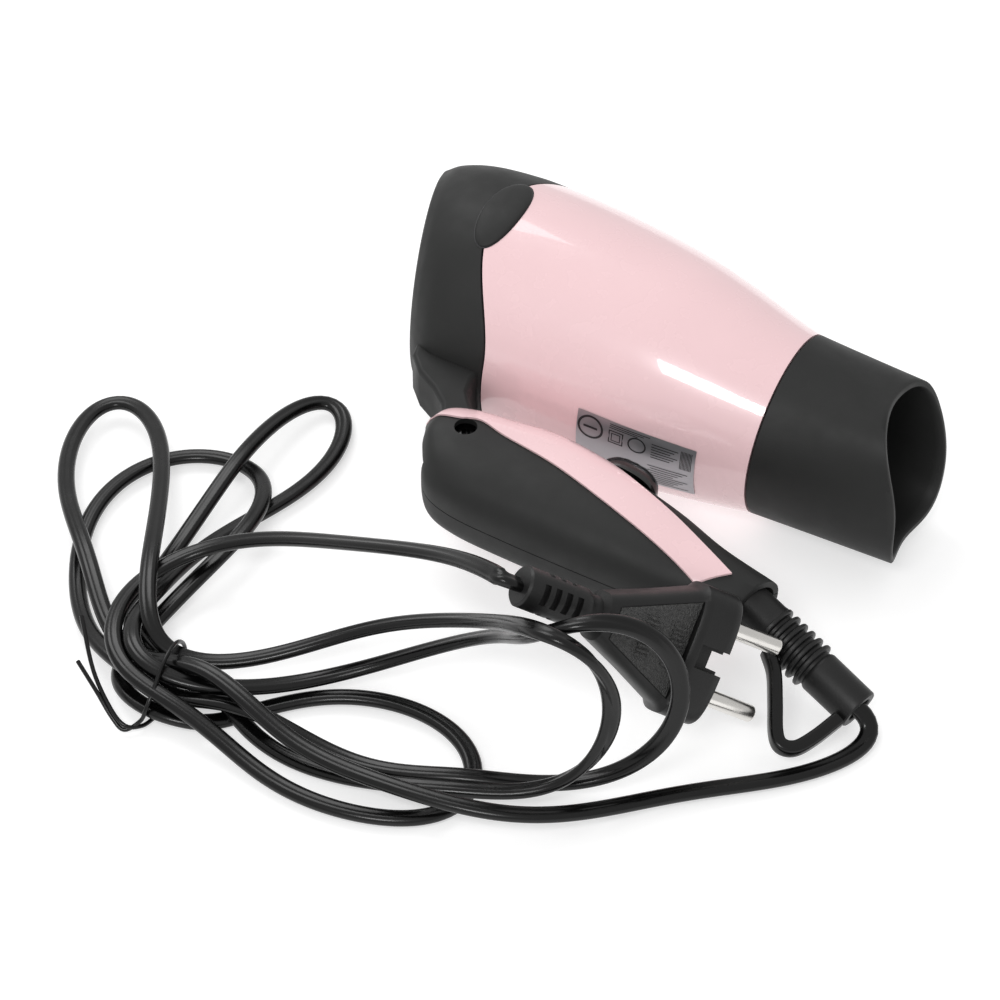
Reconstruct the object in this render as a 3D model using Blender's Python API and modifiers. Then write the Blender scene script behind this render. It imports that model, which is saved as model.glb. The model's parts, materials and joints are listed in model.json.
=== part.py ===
"""Folding travel hair dryer, lying on its side with its handle folded along the barrel.

Shapes are drawn in the dryer's own axes, in millimetres from the centre of the barrel's mouth:
u runs along the barrel from the rear to the nozzle, v is the barrel's top, w its left side.
The frame empty lays them down on the surface z = 0. The cord's route is in world millimetres.
"""

import math

import bmesh
import bpy
import numpy as np
from mathutils import Matrix, Vector

MM = 0.001
GAP = 0.3

# Rest attitude: where the barrel's mouth is, and how far the nose dips and the handle side sinks.
MOUTH = (33.4, 28.95, 31.25)
NOSE_DOWN = math.radians(4.2)
HANDLE_DOWN = math.radians(7)

# Barrel sections: (u, v of the centre, radius).
MOUTH_RADIUS = 27.0
SEAM_U = -88.0
BARREL = [
    (SEAM_U, 5.1, 37.2),
    (-76, 4.9, 37.0),
    (-62, 4.4, 36.3),
    (-48, 3.7, 35.3),
    (-34, 2.6, 33.8),
    (-20, 1.4, 31.3),
    (-8, 0.4, 28.7),
    (0, 0, MOUTH_RADIUS),
]
HOOD = [
    (SEAM_U - GAP, 5.1, 37.2, 0), (-97, 5.1, 37.0, 0.2), (-106, 4.8, 35.8, 0.6), (-113, 4.4, 33.2, 1), (-117, 4.0, 30.2, 1),
]
REAR_SLANT = 0.32
SHELL_WALL = 2.0
HOOD_HOLE_RADIUS = 27.4
REAR_U = -117.0
FAN_V = 4.0
HEATER_V = 1.2
ARC_STEPS = 14

# Trim: the ovals' centre and half sizes, and the label's stretch and half width.
INLAY_AT = (-92.7, 4.2)
INLAY_HALF = (6.2, 12.5)
LABEL_U = (-50.0, -13.5)
LABEL_HALF = 9.5

# Hinge and handle. A handle section is (front u, v), (back u, v), half thickness, exponent.
PIVOT = (-72.5, -56.0)
LUG_RADIUS = 10.5
LUG_HALF = 7.6
SLOT_HALF = 8.2
PIN_RADIUS = 2.5
HANDLE_WALL = 1.8
BOOT_START = (21.2, -66.0, 0.0)
BOOT_END = (58.2, -76.5, -9.4)
BOOT_RADIUS = 6.5
BOOT_LENGTH = 40.0
HANDLE = [
    ((-84.0, -52.5), (-84.5, -59.0), 9.5, 2.4),
    ((-80.5, -48.0), (-82.0, -65.0), 12.5, 2.8),
    ((-74.0, -45.0), (-76.0, -73.0), 13.6, 3.0),
    ((-64.0, -43.5), (-66.0, -76.5), 14.0, 3.0),
    ((-48.0, -42.0), (-50.0, -77.5), 14.2, 3.0),
    ((-28.0, -44.8), (-32.0, -77.8), 13.8, 2.9),
    ((-8.0, -49.5), (-14.0, -77.8), 12.8, 2.7),
    ((8.0, -54.5), (0.0, -77.4), 11.2, 2.4),
    ((24.4, -57.4), (18.1, -74.6), 9.1, 2.0),
]
STRIPE = [
    (-83.0, -54.0), (-80.5, -49.0), (-75.5, -46.2), (-66.0, -46.0), (-56.0, -44.6), (-43.5, -42.8),
    (-31.0, -46.5), (-6.5, -56.0), (15.0, -67.0), (7.5, -74.0), (-2.5, -69.0), (-14.5, -64.2),
    (-31.0, -58.3), (-48.0, -53.4), (-62.0, -51.6), (-70.5, -52.4), (-76.0, -54.6),
]

HANDLE_SCREWS = [(-56.0, -68.0, 12.5), (-10.0, -66.0, 11.5)]

# Slide switch on the handle's front.
SWITCH_AT = (-29.0, -43.6)
SWITCH_TURN = Matrix.Rotation(math.radians(-7.5), 4, "Z")

# Nozzle: a rounded-square mouth, slanted and slightly saddle shaped.
NOZZLE_LENGTH = 38.5
NOZZLE_HALF = (22.3, 21.8)
NOZZLE_POWER = 3.6
NOZZLE_TURN = math.radians(75)
NOZZLE_SADDLE = 3.0
NOZZLE_SLOPE = (-0.094, -0.25)
NOZZLE_WALL = 1.8

# The hang loop's outline, along the boot and away from it.
HANG_LOOP = [
    (9.0, 7.3), (16.5, 7.3), (30.5, 21.0), (33.0, 21.5), (35.5, 19.5), (36.6, 6.6), (40.0, 6.6),
    (38.5, 22.5), (35.5, 27.0), (31.0, 27.5), (27.0, 25.0),
]

# Plug: the middle of its pin face in world millimetres, and the ways its pins and its face point.
PLUG_AT = (54.7, -65.05, 26.5)
PINS_POINT = (0.650, 0.518, -0.555)
PIN_LINE = (-0.049, -0.703, -0.709)
PIN_SPACING = 19.0
PIN_LENGTH = 19.0
PIN_RADIUS_MM = 2.4
PLUG = [
    (0, 18.0, 8.8, 3.2),
    (-11, 18.0, 8.8, 3.2),
    (-12, 16.5, 8.0, 3.4),
    (-24, 11.4, 7.4, 3.4),
    (-37, 6.6, 6.4, 3.0),
    (-38, 4.8, 4.8, 2.0),
    (-41, 4.8, 4.8, 2.0),
    (-42, 5.6, 5.6, 2.0),
    (-61, 5.6, 5.6, 2.0),
]

# The cord's route in world millimetres, loop by loop between its crossings of the tie.
RUN_FROM_BOOT = [  # from the boot to the tie
    (93, -45, 3.6), (94, -50, 3), (93, -60, 3), (84, -72, 3), (74, -79, 3), (64, -87, 3),
    (54, -98, 3.4), (45, -109, 5), (34, -121, 8), (23, -127, 9), (12, -129, 9), (-2, -129, 9),
    (-17, -130, 9), (-33, -129, 8.6), (-49, -127, 8.4),
]
LOOP_A = [  # tall loop at the far left
    (-108, -105, 10), (-127, -90, 10), (-145, -72, 8), (-159, -48, 6), (-164, -30, 5),
    (-160, -21, 5), (-149, -26, 6), (-135, -39, 8.5), (-123, -57, 11), (-110, -79, 14),
    (-99, -99, 16), (-91, -111, 14),
]
LOOP_B = [  # inner right loop
    (-62, -107, 8.5), (-52, -97, 10), (-41, -88, 14), (-27, -88, 22.2), (-10, -89, 31.6),
    (7, -91, 39.2), (30, -113, 61.8), (36, -110, 60.1), (40, -103, 52.9), (43, -100, 41.5),
    (45, -102, 33.5), (44, -103, 23.3), (39, -105, 14.2), (33, -109, 8), (24, -114, 4.2),
    (15, -119, 3.4), (3, -123, 3.2), (-11, -126, 3.2), (-25, -128, 3.2), (-40, -128, 3.2),
]
LOOP_C = [  # long slanting left loop
    (-99, -107, 3.2), (-105, -90, 3), (-109, -69, 3), (-110, -54, 5), (-109, -35, 8.5),
    (-111, -11, 6), (-109, 5, 4), (-105, 11, 3), (-99, 7, 3), (-93, -3, 3), (-90, -17, 3),
    (-90, -32, 3), (-95, -45, 3), (-99, -55, 3), (-102, -67, 3), (-103, -79, 4), (-99, -94, 7.6),
    (-96, -106, 8),
]
LOOP_D = [  # outer right loop, over the plug
    (-57, -115, 6), (-47, -105, 5), (-37, -95, 6), (-26, -87, 10.3), (-12, -86, 19.6),
    (3, -85, 29.3), (27, -108, 57.5), (36, -105, 62), (42, -92, 56.8), (48, -86, 50.5),
    (54, -86, 46.4), (58, -87, 39.4), (59, -89, 31.2), (56, -93, 22), (50, -94, 12.9), (40, -98, 6),
    (31, -104, 3.4), (23, -110, 3), (14, -115, 3), (3, -118, 3), (-7, -121, 3), (-24, -123, 3.2),
    (-40, -123, 3.2),
]
LOOP_E = [  # wide left loop
    (-94, -123, 3.4), (-107, -115, 3), (-120, -103, 3), (-129, -91, 3), (-135, -78, 3),
    (-139, -64, 3), (-139, -52, 3), (-135, -41, 3), (-128, -34, 3), (-119, -30, 3), (-109, -31, 4),
    (-99, -40, 6.5), (-92, -51, 9), (-92, -63, 8.6), (-93, -74, 8), (-95, -86, 7.5), (-97, -99, 3.6),
]
LOOP_F = [  # small right loop
    (-58, -119, 3.2), (-48, -110, 3), (-34, -101, 3), (-21, -97, 3), (-8, -98, 3), (3, -103, 3),
    (10, -109, 3), (12, -119, 3), (11, -126, 3), (5, -132, 3), (-5, -136, 3), (-18, -138, 3),
    (-33, -139, 3), (-49, -138, 3.2),
]
RUN_TO_PLUG = [  # up to the plug
    (-97, -120, 9), (-102, -108, 9.5), (-105, -96, 10), (-102, -85, 11), (-96, -78, 13),
    (-85, -74, 17.3), (-68, -74, 24.3), (-51, -78, 33.4), (-32, -82, 42.6), (-14, -86, 50.7),
    (3, -93, 58.3),
]
# Where the tie holds the bundle, the way its strands run, and each crossing: (across, height, way).
TIE_AT = (-78.6, -123.6)
TIE_ALONG = (0.989, 0.15)
TIE_CROSSINGS = [
    (4.6, 8.2, -1), (9.2, 8.2, 1), (4.4, 3.6, -1), (0.0, 8.2, 1), (0.0, 3.6, -1), (-4.4, 3.6, 1), (-4.6, 8.2, -1),
]
TIE_STRAIGHT = 13.0
CORD_RADIUS = 2.1
CORD_FLOOR = 2.9
TIE_FLOOR = 3.8
CORD_CLEAR = 5.4
CORD_STEP = 5.0
CORD_POINTS = 86
CORD_BEND_SHARE = 25.0

ALONG_BARREL = Matrix(((0, 0, 1, 0), (0, 1, 0, 0), (-1, 0, 0, 0), (0, 0, 0, 1)))
OUT_OF_REAR = Matrix(((0, 0, -1, 0), (0, 1, 0, 0), (1, 0, 0, 0), (0, 0, 0, 1)))
MATERIALS = {}
HOMES = {}


def clear_scene():
    for obj in list(bpy.data.objects):
        bpy.data.objects.remove(obj, do_unlink=True)


def collection(name, hidden=False):
    made = bpy.data.collections.new(name)
    made.hide_render = hidden
    bpy.context.scene.collection.children.link(made)
    return made


def material(name, colour, roughness, metallic=0.0):
    if name not in MATERIALS:
        made = bpy.data.materials.new(name)
        made.use_nodes = True
        shader = made.node_tree.nodes["Principled BSDF"]
        shader.inputs["Base Color"].default_value = (*colour, 1)
        shader.inputs["Roughness"].default_value = roughness
        shader.inputs["Metallic"].default_value = metallic
        MATERIALS[name] = made
    return MATERIALS[name]


def pink_gloss():
    return material("pink_gloss", (0.78, 0.44, 0.46), 0.18)


def soft_grey():
    return material("soft_touch_grey", (0.035, 0.035, 0.037), 0.55)


def black_rubber():
    return material("black_rubber", (0.012, 0.012, 0.013), 0.4)


def grey_plastic():
    return material("grey_plastic", (0.25, 0.25, 0.25), 0.5)


def steel():
    return material("steel", (0.6, 0.6, 0.6), 0.3, 1.0)


def mica():
    return material("mica", (0.55, 0.47, 0.33), 0.5)


def at(u, v, w=0.0):
    return Vector((u, v, w)) * MM


def joint_frame(name, parent, home, turn=None):
    """An empty on an axis; `home` is its place in the dryer's axes, in mm, kept in HOMES."""
    made = bpy.data.objects.new(name, None)
    PARTS.objects.link(made)
    made.parent = parent
    made.location = at(*home) - at(*HOMES[parent.name]) if parent else at(*home)
    if turn is not None:
        made.rotation_euler = turn.to_euler()
    HOMES[name] = home
    return made


def own(obj, frame, look, origin=(0, 0, 0), local=False):
    """Hang an object drawn about `origin` (dryer axes, mm), or about the frame itself."""
    obj.parent = frame
    obj.location = (0, 0, 0) if local else at(*origin) - at(*HOMES[frame.name])
    obj.data.materials.clear()
    obj.data.materials.append(look)
    return smooth(obj)


def mesh_object(name, bm, target):
    bmesh.ops.recalc_face_normals(bm, faces=bm.faces)
    mesh = bpy.data.meshes.new(name)
    bm.to_mesh(mesh)
    bm.free()
    obj = bpy.data.objects.new(name, mesh)
    target.objects.link(obj)
    return obj


def loft(name, rings, target, looped=False, strip_caps=False):
    """Skin a list of equal rings of points.

    A looped one closes on its first ring, else it is capped: by strips if each ring runs out
    along one edge of a wall and back along the other.
    """
    bm = bmesh.new()
    rows = [[bm.verts.new(point) for point in ring] for ring in rings]
    pairs = list(zip(rows, rows[1:] + rows[:1])) if looped else list(zip(rows, rows[1:]))
    for low, high in pairs:
        for i in range(len(low)):
            j = (i + 1) % len(low)
            bm.faces.new((low[i], low[j], high[j], high[i]))
    if strip_caps:
        last = len(rows[0]) - 1
        for row in (rows[0], rows[-1]):
            for i in range(last // 2):
                bm.faces.new((row[i], row[i + 1], row[last - i - 1], row[last - i]))
    elif not looped:
        bm.faces.new(rows[0][::-1])
        bm.faces.new(rows[-1])
    return mesh_object(name, bm, target)


def superellipse(half_a, half_b, power, angle):
    c, s = math.cos(angle), math.sin(angle)
    scale = (abs(c) ** power + abs(s) ** power) ** (-1 / power)
    return half_a * c * scale, half_b * s * scale


def round_ring(u, v, radius, steps=2 * ARC_STEPS, slant=0.0):
    ring = []
    for i in range(steps):
        turn = 2 * math.pi * i / steps
        dv, dw = radius * math.cos(turn), radius * math.sin(turn)
        ring.append(at(u - slant * dv, v + dv, dw))
    return ring


def half_section(front, back, half_w, power, side, grow):
    """One half, towards `side`, of a section between a front and a back point, grown by `grow`."""
    front, back = Vector(front), Vector(back)
    middle, reach = (front + back) / 2, (front - back) / 2
    along = reach.normalized()
    points = []
    for i in range(ARC_STEPS + 1):
        a, b = superellipse(reach.length + grow, half_w + grow, power, math.pi * i / ARC_STEPS)
        spot = middle + along * a
        points.append(at(spot.x, spot.y, side * (b + GAP / 2)))
    return points


def half_skin(name, sections, side, outer, inner, target):
    """A half tube between two growths of its sections, closed by flat edges at w = 0."""
    rings = [
        half_section(*section, side, outer) + half_section(*section, side, inner)[::-1]
        for section in sections
    ]
    return loft(name, rings, target, strip_caps=True)


def barrel_sections(first, last):
    return [
        ((u, v + r), (u, v - r), r, 2.0) for u, v, r in BARREL if first <= u <= last
    ]


def turned(name, profile, target, steps=24):
    """A Screw about local Z of (radius, height) points in mm, which run down the outer side."""
    mesh = bpy.data.meshes.new(name)
    points = [(r * MM, 0, z * MM) for r, z in profile]
    mesh.from_pydata(points, [(i, i + 1) for i in range(len(points) - 1)], [])
    obj = bpy.data.objects.new(name, mesh)
    target.objects.link(obj)
    screw = obj.modifiers.new("turn", "SCREW")
    screw.steps = steps
    screw.render_steps = steps
    screw.use_merge_vertices = True
    screw.merge_threshold = 0.00002
    return obj


def ring_profile(inner, outer, low, high):
    return [(inner, high), (outer, high), (outer, low), (inner, low), (inner, high)]


def along_barrel(obj):
    obj.rotation_euler = (0, math.pi / 2, 0)
    return obj


def disc_or_ring(name, inner, outer, u_low, u_high, v, frame, look, steps=24):
    """A plain turned ring or rod on a line parallel to the barrel's axis."""
    if inner:
        profile = ring_profile(inner, outer, 0, u_high - u_low)
    else:
        length = u_high - u_low
        profile = [(0, length), (outer, length), (outer, 0), (0, 0)]
    obj = along_barrel(turned(name, profile, PARTS, steps))
    return own(obj, frame, look, (u_low, v, 0))


def box(name, low, high, target):
    bpy.ops.mesh.primitive_cube_add(size=1)
    obj = bpy.context.object
    obj.name = name
    low, high = Vector(low), Vector(high)
    obj.data.transform(Matrix.Diagonal(((high - low) * MM).to_4d()))
    obj.data.transform(Matrix.Translation((low + high) / 2 * MM))
    move_to(obj, target)
    return obj


def rod(name, start, end, radius, target, sides=16):
    """A cylinder between two points, in mm."""
    start, end = Vector(start), Vector(end)
    bpy.ops.mesh.primitive_cylinder_add(
        vertices=sides, radius=radius * MM, depth=(end - start).length * MM
    )
    obj = bpy.context.object
    obj.name = name
    turn = (end - start).to_track_quat("Z", "Y").to_matrix().to_4x4()
    obj.data.transform(Matrix.Translation((start + end) / 2 * MM) @ turn)
    move_to(obj, target)
    return obj


def prism(name, outline, low, high, target):
    """An outline in (u, v), in mm, pulled from w = low to w = high."""
    rings = [[at(u, v, w) for u, v in outline] for w in (low, high)]
    return loft(name, rings, target)


def move_to(obj, target):
    for held in list(obj.users_collection):
        held.objects.unlink(obj)
    target.objects.link(obj)


def combine(obj, other, operation):
    """Apply one exact Boolean; the other object is used up."""
    change = obj.modifiers.new(operation.lower(), "BOOLEAN")
    change.operation = operation
    change.solver = "EXACT"
    change.object = other
    bpy.context.view_layer.update()
    graph = bpy.context.evaluated_depsgraph_get()
    result = bpy.data.meshes.new_from_object(obj.evaluated_get(graph))
    obj.modifiers.clear()
    obj.data = result
    bpy.data.objects.remove(other, do_unlink=True)
    return obj


def smooth(obj, angle=35):
    if obj.type == "MESH":
        obj.data.shade_smooth()
        obj.data.set_sharp_from_angle(angle=math.radians(angle))
    return obj


def tube(name, points, radius, target, cyclic=False):
    """A round wire through points given in mm."""
    curve = bpy.data.curves.new(name, "CURVE")
    curve.dimensions = "3D"
    curve.bevel_depth = radius * MM
    curve.bevel_resolution = 2
    curve.use_fill_caps = True
    line = curve.splines.new("POLY")
    line.points.add(len(points) - 1)
    line.use_cyclic_u = cyclic
    for spot, point in zip(line.points, points):
        spot.co = (*(Vector(point) * MM), 1)
    obj = bpy.data.objects.new(name, curve)
    target.objects.link(obj)
    return obj


def helix(turns, steps, radius, start, end, centre_v, centre_w=0.0):
    points = []
    for i in range(turns * steps + 1):
        share = i / (turns * steps)
        angle = 2 * math.pi * turns * share
        u = start + (end - start) * share
        points.append((u, centre_v + radius * math.cos(angle), centre_w + radius * math.sin(angle)))
    return points


# ---------------------------------------------------------------- barrel


def barrel_shells(frame):
    for side, name in ((1, "barrel_shell_left"), (-1, "barrel_shell_right")):
        shell = half_skin(name, barrel_sections(SEAM_U, 0), side, 0, -SHELL_WALL, PARTS)
        own(shell, frame, pink_gloss())


def hood_rings(grow, first=0, last=None):
    return [
        round_ring(u, v, r + grow, slant=REAR_SLANT * share) for u, v, r, share in HOOD[first:last]
    ]


def lug_outline():
    u, v = PIVOT
    arc = [
        (u + LUG_RADIUS * math.cos(a), v + LUG_RADIUS * math.sin(a))
        for a in (-math.pi * i / 12 for i in range(13))
    ]
    top = -33.8
    return [(-97, -31.5), (SEAM_U - 1.2, -31.5), (SEAM_U - 1.2, top), (u + LUG_RADIUS, top)] + arc + [
        (u - LUG_RADIUS, -44),
        (-95, -41),
    ]


def rear_hood(frame):
    """The dark rear cover, with the neck and lug that carry the handle."""
    u, v, _, _ = HOOD[-1]
    lip = [round_ring(u + d, v, HOOD_HOLE_RADIUS, slant=REAR_SLANT) for d in (0, 2.5)]
    hood = loft("rear_hood", hood_rings(0) + lip + hood_rings(-SHELL_WALL, 0, 4)[::-1], PARTS, True)
    combine(hood, prism("lug", lug_outline(), -LUG_HALF, LUG_HALF, CUTTERS), "UNION")
    bore = rod("lug_bore", (*PIVOT, -20), (*PIVOT, 20), PIN_RADIUS + 0.4, CUTTERS, 20)
    combine(hood, bore, "DIFFERENCE")
    own(hood, frame, soft_grey())


def grille(name, outer, rings, hub, thick, spokes, bar, steps):
    """Concentric rings on radial bars, about local Z from 0 to `thick`."""
    made = turned(name, ring_profile(*outer, 0, thick), PARTS, steps)
    for inner, out in rings:
        combine(made, turned("ring", ring_profile(inner, out, 0.1, thick - 0.1), CUTTERS, steps), "UNION")
    hub_rod = rod("hub", (0, 0, 0.15), (0, 0, thick - 0.15), hub, CUTTERS, steps)
    combine(made, hub_rod, "UNION")
    reach = (outer[0] + outer[1]) / 2
    for i in range(spokes // 2):
        cross = box("bar", (-reach, -bar / 2, 0.2), (reach, bar / 2, thick - 0.2), CUTTERS)
        cross.data.transform(Matrix.Rotation(2 * math.pi * i / spokes + 0.1, 4, "Z"))
        combine(made, cross, "UNION")
    return made


def intake(frame):
    tilt = Matrix.Rotation(math.atan(REAR_SLANT), 4, "Z")
    rear = joint_frame("intake_seat", frame, (REAR_U + 3.4, FAN_V, 0), tilt @ OUT_OF_REAR)
    made = grille("intake_grille", (24.8, 27.0), [(16.5, 18.3), (8.2, 10)], 3, 2.4, 4, 1.6, 20)
    own(made, rear, grey_plastic(), local=True)
    screen = turned("intake_filter_screen", [(0, -0.5), (26.6, -0.5), (26.6, -1.3), (0, -1.3)], PARTS)
    own(screen, rear, steel(), local=True)


def inlays(frame):
    """The domed ovals set on the barrel's sides, across the hood's seam."""
    for side, name in ((1, "oval_inlay_left"), (-1, "oval_inlay_right")):
        rings = []
        for grow in (0.9, GAP):
            start = round_ring(SEAM_U + 3, HOOD[0][1], HOOD[0][2] + grow)
            rings.append([start] + hood_rings(grow, 0, 3))
        skin = loft(name, rings[0] + rings[1][::-1], PARTS, True)
        low, high = sorted((side * 20, side * 60))
        oval = rod("oval", (0, 0, low), (0, 0, high), 1, CUTTERS, 24)
        oval.data.transform(Matrix.Diagonal((*INLAY_HALF, 1, 1)))
        oval.data.transform(Matrix.Translation(at(*INLAY_AT)))
        combine(skin, oval, "INTERSECT")
        own(skin, frame, soft_grey())


def rating_label(frame):
    rings = [
        [round_ring(u, v, r + grow) for u, v, r in BARREL[2:-1]] for grow in (0.5, GAP)
    ]
    skin = loft("rating_label", rings[0] + rings[1][::-1], PARTS, True)
    patch = box("patch", (LABEL_U[0], -60, -LABEL_HALF), (LABEL_U[1], -10, LABEL_HALF), CUTTERS)
    combine(skin, patch, "INTERSECT")
    own(skin, frame, material("label_silver", (0.5, 0.5, 0.5), 0.35, 0.6))


def motor_mount(frame):
    """Fan duct, stator vanes and motor cup in one moulding."""
    made = along_barrel(turned("motor_mount", ring_profile(30.2, 32.0, 0, 33), PARTS, 28))
    combine_local(made, turned("cup", ring_profile(14.3, 15.8, 9, 31), CUTTERS, 20), "UNION")
    for i in range(5):
        vane = box("vane", (15.0, -0.7, 14), (31.0, 0.7, 30), CUTTERS)
        vane.data.transform(Matrix.Rotation(2 * math.pi * i / 5, 4, "Z"))
        combine_local(made, vane, "UNION")
    own(made, frame, grey_plastic(), (-99, FAN_V, 0))


def combine_local(obj, other, operation):
    """A Boolean with the other object given in this one's own axes."""
    other.matrix_world = obj.matrix_basis.copy()
    return combine(obj, other, operation)


def motor(frame):
    can = disc_or_ring("motor_can", 1.5, 14.0, -91, -59, FAN_V, frame, steel())
    can.modifiers.new("edge", "BEVEL").width = 0.8 * MM
    can.modifiers["edge"].segments = 1


def fan(frame):
    axle = joint_frame("fan_axis", frame, (-99, FAN_V, 0), ALONG_BARREL)
    shaft = turned("motor_shaft", [(0, 41), (1.15, 41), (1.15, -5), (0, -5)], PARTS, 12)
    own(shaft, axle, steel(), local=True)
    wheel = turned("fan_impeller", ring_profile(1.45, 7.5, -5, 5), PARTS, 20)
    for i in range(7):
        blade = box("blade", (6.5, -0.6, -6), (28.4, 0.6, 6), CUTTERS)
        blade.data.transform(Matrix.Rotation(math.radians(48), 4, "X"))
        blade.data.transform(Matrix.Rotation(2 * math.pi * i / 7, 4, "Z"))
        combine(wheel, blade, "UNION")
    own(wheel, axle, black_rubber(), local=True)


def heater(frame):
    half, slot, rear, front, middle = 19.5, 0.8, -56, -17, -36.5
    plate_a = [
        (rear, -half), (front, -half), (front, -slot), (middle - 0.6, -slot),
        (middle - 0.6, slot), (front, slot), (front, half), (rear, half),
    ]
    plate_b = [
        (front, -half), (front, half), (rear, half), (rear, slot), (middle + 0.6, slot),
        (middle + 0.6, -slot), (rear, -slot), (rear, -half),
    ]
    for name, outline, turn in (("mica_plate_a", plate_a, 0), ("mica_plate_b", plate_b, math.pi / 2)):
        plate = prism(name, outline, -0.4, 0.4, PARTS)
        plate.data.transform(Matrix.Rotation(turn, 4, "X"))
        own(plate, frame, mica(), (0, HEATER_V, 0))
    coil = tube("heating_coil", helix(5, 10, 22.4, rear + 3, front - 3, HEATER_V), 0.6, PARTS)
    own(coil, frame, steel())
    disc_or_ring("mica_liner_tube", 24.0, 24.6, -58, -15.5, HEATER_V, frame, mica(), 28)
    quarter = 9.0
    sensor = box("thermostat", (-51, HEATER_V + 6, 6), (-40, HEATER_V + 12, 11), PARTS)
    own(sensor, frame, grey_plastic())
    fuse_v = HEATER_V + quarter
    fuse = rod("thermal_fuse", (-51, fuse_v, -quarter), (-40, fuse_v, -quarter), 1.6, PARTS, 12)
    own(fuse, frame, material("ceramic", (0.8, 0.78, 0.72), 0.6))


def outlet(frame):
    seat = joint_frame("outlet_seat", frame, (-13, 0, 0), ALONG_BARREL)
    made = grille("outlet_grille", (23.2, 24.6), [(12, 13.4)], 3, 1.6, 4, 1.2, 20)
    sleeve = turned("sleeve", ring_profile(23.25, 24.55, 0.8, 12.6), CUTTERS, 20)
    combine(made, sleeve, "UNION")
    own(made, seat, soft_grey(), local=True)


# ---------------------------------------------------------------- nozzle


def nozzle_ring(share, grow):
    """A ring part of the way from the round base to the mouth, drawn from local axes u, v, w."""
    ring = []
    for i in range(2 * ARC_STEPS):
        angle = 2 * math.pi * i / (2 * ARC_STEPS)
        a, b = superellipse(NOZZLE_HALF[0] + grow, NOZZLE_HALF[1] + grow, NOZZLE_POWER, angle)
        c, s = math.cos(NOZZLE_TURN), math.sin(NOZZLE_TURN)
        v, w = a * c - b * s, a * s + b * c
        u = NOZZLE_LENGTH - NOZZLE_SADDLE * math.cos(2 * angle)
        u += NOZZLE_SLOPE[0] * v + NOZZLE_SLOPE[1] * w
        radius = MOUTH_RADIUS + grow
        base = Vector((GAP, radius * math.cos(angle + NOZZLE_TURN), radius * math.sin(angle + NOZZLE_TURN)))
        ring.append(base.lerp(Vector((u, v, w)), share) * MM)
    return ring


def nozzle(frame):
    ring_slide = joint_frame("nozzle_slide", frame, (0, 0, 0))
    swivel = joint_frame("nozzle_swivel", ring_slide, (0, 0, 0))
    disc_or_ring("nozzle_snap_ring", 21.4, 22.9, -10, 7, 0, ring_slide, grey_plastic())
    shares = (0, 0.25, 0.5, 0.75, 1)
    outside = [nozzle_ring(share, 0) for share in shares]
    inside = [nozzle_ring(share, -NOZZLE_WALL) for share in (1, 0.75, 0.5, 0.25)]
    collar = [round_ring(u, 0, 23.2) for u in (6.5, GAP)]
    collar = [aligned(ring) for ring in collar]
    own(loft("nozzle", outside + inside + collar, PARTS, True), swivel, soft_grey())


def aligned(ring):
    """Turn a ring's points to start at the nozzle's own first angle."""
    return [Matrix.Rotation(NOZZLE_TURN, 3, "X") @ point for point in ring]


# ---------------------------------------------------------------- handle


def handle_shells(frame):
    for side, name in ((1, "handle_shell_left"), (-1, "handle_shell_right")):
        shell = half_skin(name, HANDLE, side, 0, -HANDLE_WALL, PARTS)
        for u, v, top in HANDLE_SCREWS:
            if side > 0:
                post = rod("post", (u, v, 2), (u, v, top), 2.8, CUTTERS, 12)
                combine(shell, post, "UNION")
                combine(shell, rod("post_bore", (u, v, 0), (u, v, 10), 1.5, CUTTERS, 12), "DIFFERENCE")
            else:
                combine(shell, rod("head_hole", (u, v, -20), (u, v, -8), 3, CUTTERS, 12), "DIFFERENCE")
        if side > 0:
            recess = rod("screw_recess", (*PIVOT, 8), (*PIVOT, 20), 3.25, CUTTERS, 20)
            combine(shell, recess, "DIFFERENCE")
        slot = box("lug_slot", (-95, -69, -SLOT_HALF), (-60.5, -30, SLOT_HALF), CUTTERS)
        combine(shell, slot, "DIFFERENCE")
        stem_slot = box("stem_slot", (-9, -6, -2.3), (9, 4, 2.3), CUTTERS)
        stem_slot.data.transform(Matrix.Translation(at(*SWITCH_AT)) @ SWITCH_TURN)
        combine(shell, stem_slot, "DIFFERENCE")
        own(shell, frame, soft_grey())


def stripes(frame):
    for side, name in ((1, "stripe_inlay_left"), (-1, "stripe_inlay_right")):
        skin = half_skin(name, HANDLE, side, 0.8, GAP, PARTS)
        low, high = sorted((side * 4, side * 20))
        combine(skin, prism("outline", STRIPE, low, high, CUTTERS), "INTERSECT")
        own(skin, frame, pink_gloss())


def hinge(frame):
    own(rod("hinge_pin", (*PIVOT, -11.4), (*PIVOT, 9.0), PIN_RADIUS, PARTS), frame, steel())
    own(rod("hinge_screw", (*PIVOT, 9.3), (*PIVOT, 11.4), 3.0, PARTS), frame, steel())
    for side, name in ((1, "hinge_washer_left"), (-1, "hinge_washer_right")):
        low, high = sorted((side * 8.0, side * 8.8))
        washer = turned(name, ring_profile(PIN_RADIUS + 0.4, 6.0, low, high), PARTS, 16)
        own(washer, frame, steel(), (*PIVOT, 0))
    ball_u = PIVOT[0] + LUG_RADIUS + 2.2
    bm = bmesh.new()
    bmesh.ops.create_uvsphere(bm, u_segments=10, v_segments=6, radius=1.4 * MM)
    ball = mesh_object("detent_ball", bm, PARTS)
    own(ball, frame, steel(), (ball_u, PIVOT[1], 0))
    coils = helix(4, 6, 1.2, ball_u + 2.2, ball_u + 8, PIVOT[1])
    own(tube("detent_spring", coils, 0.3, PARTS), frame, steel())


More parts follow.
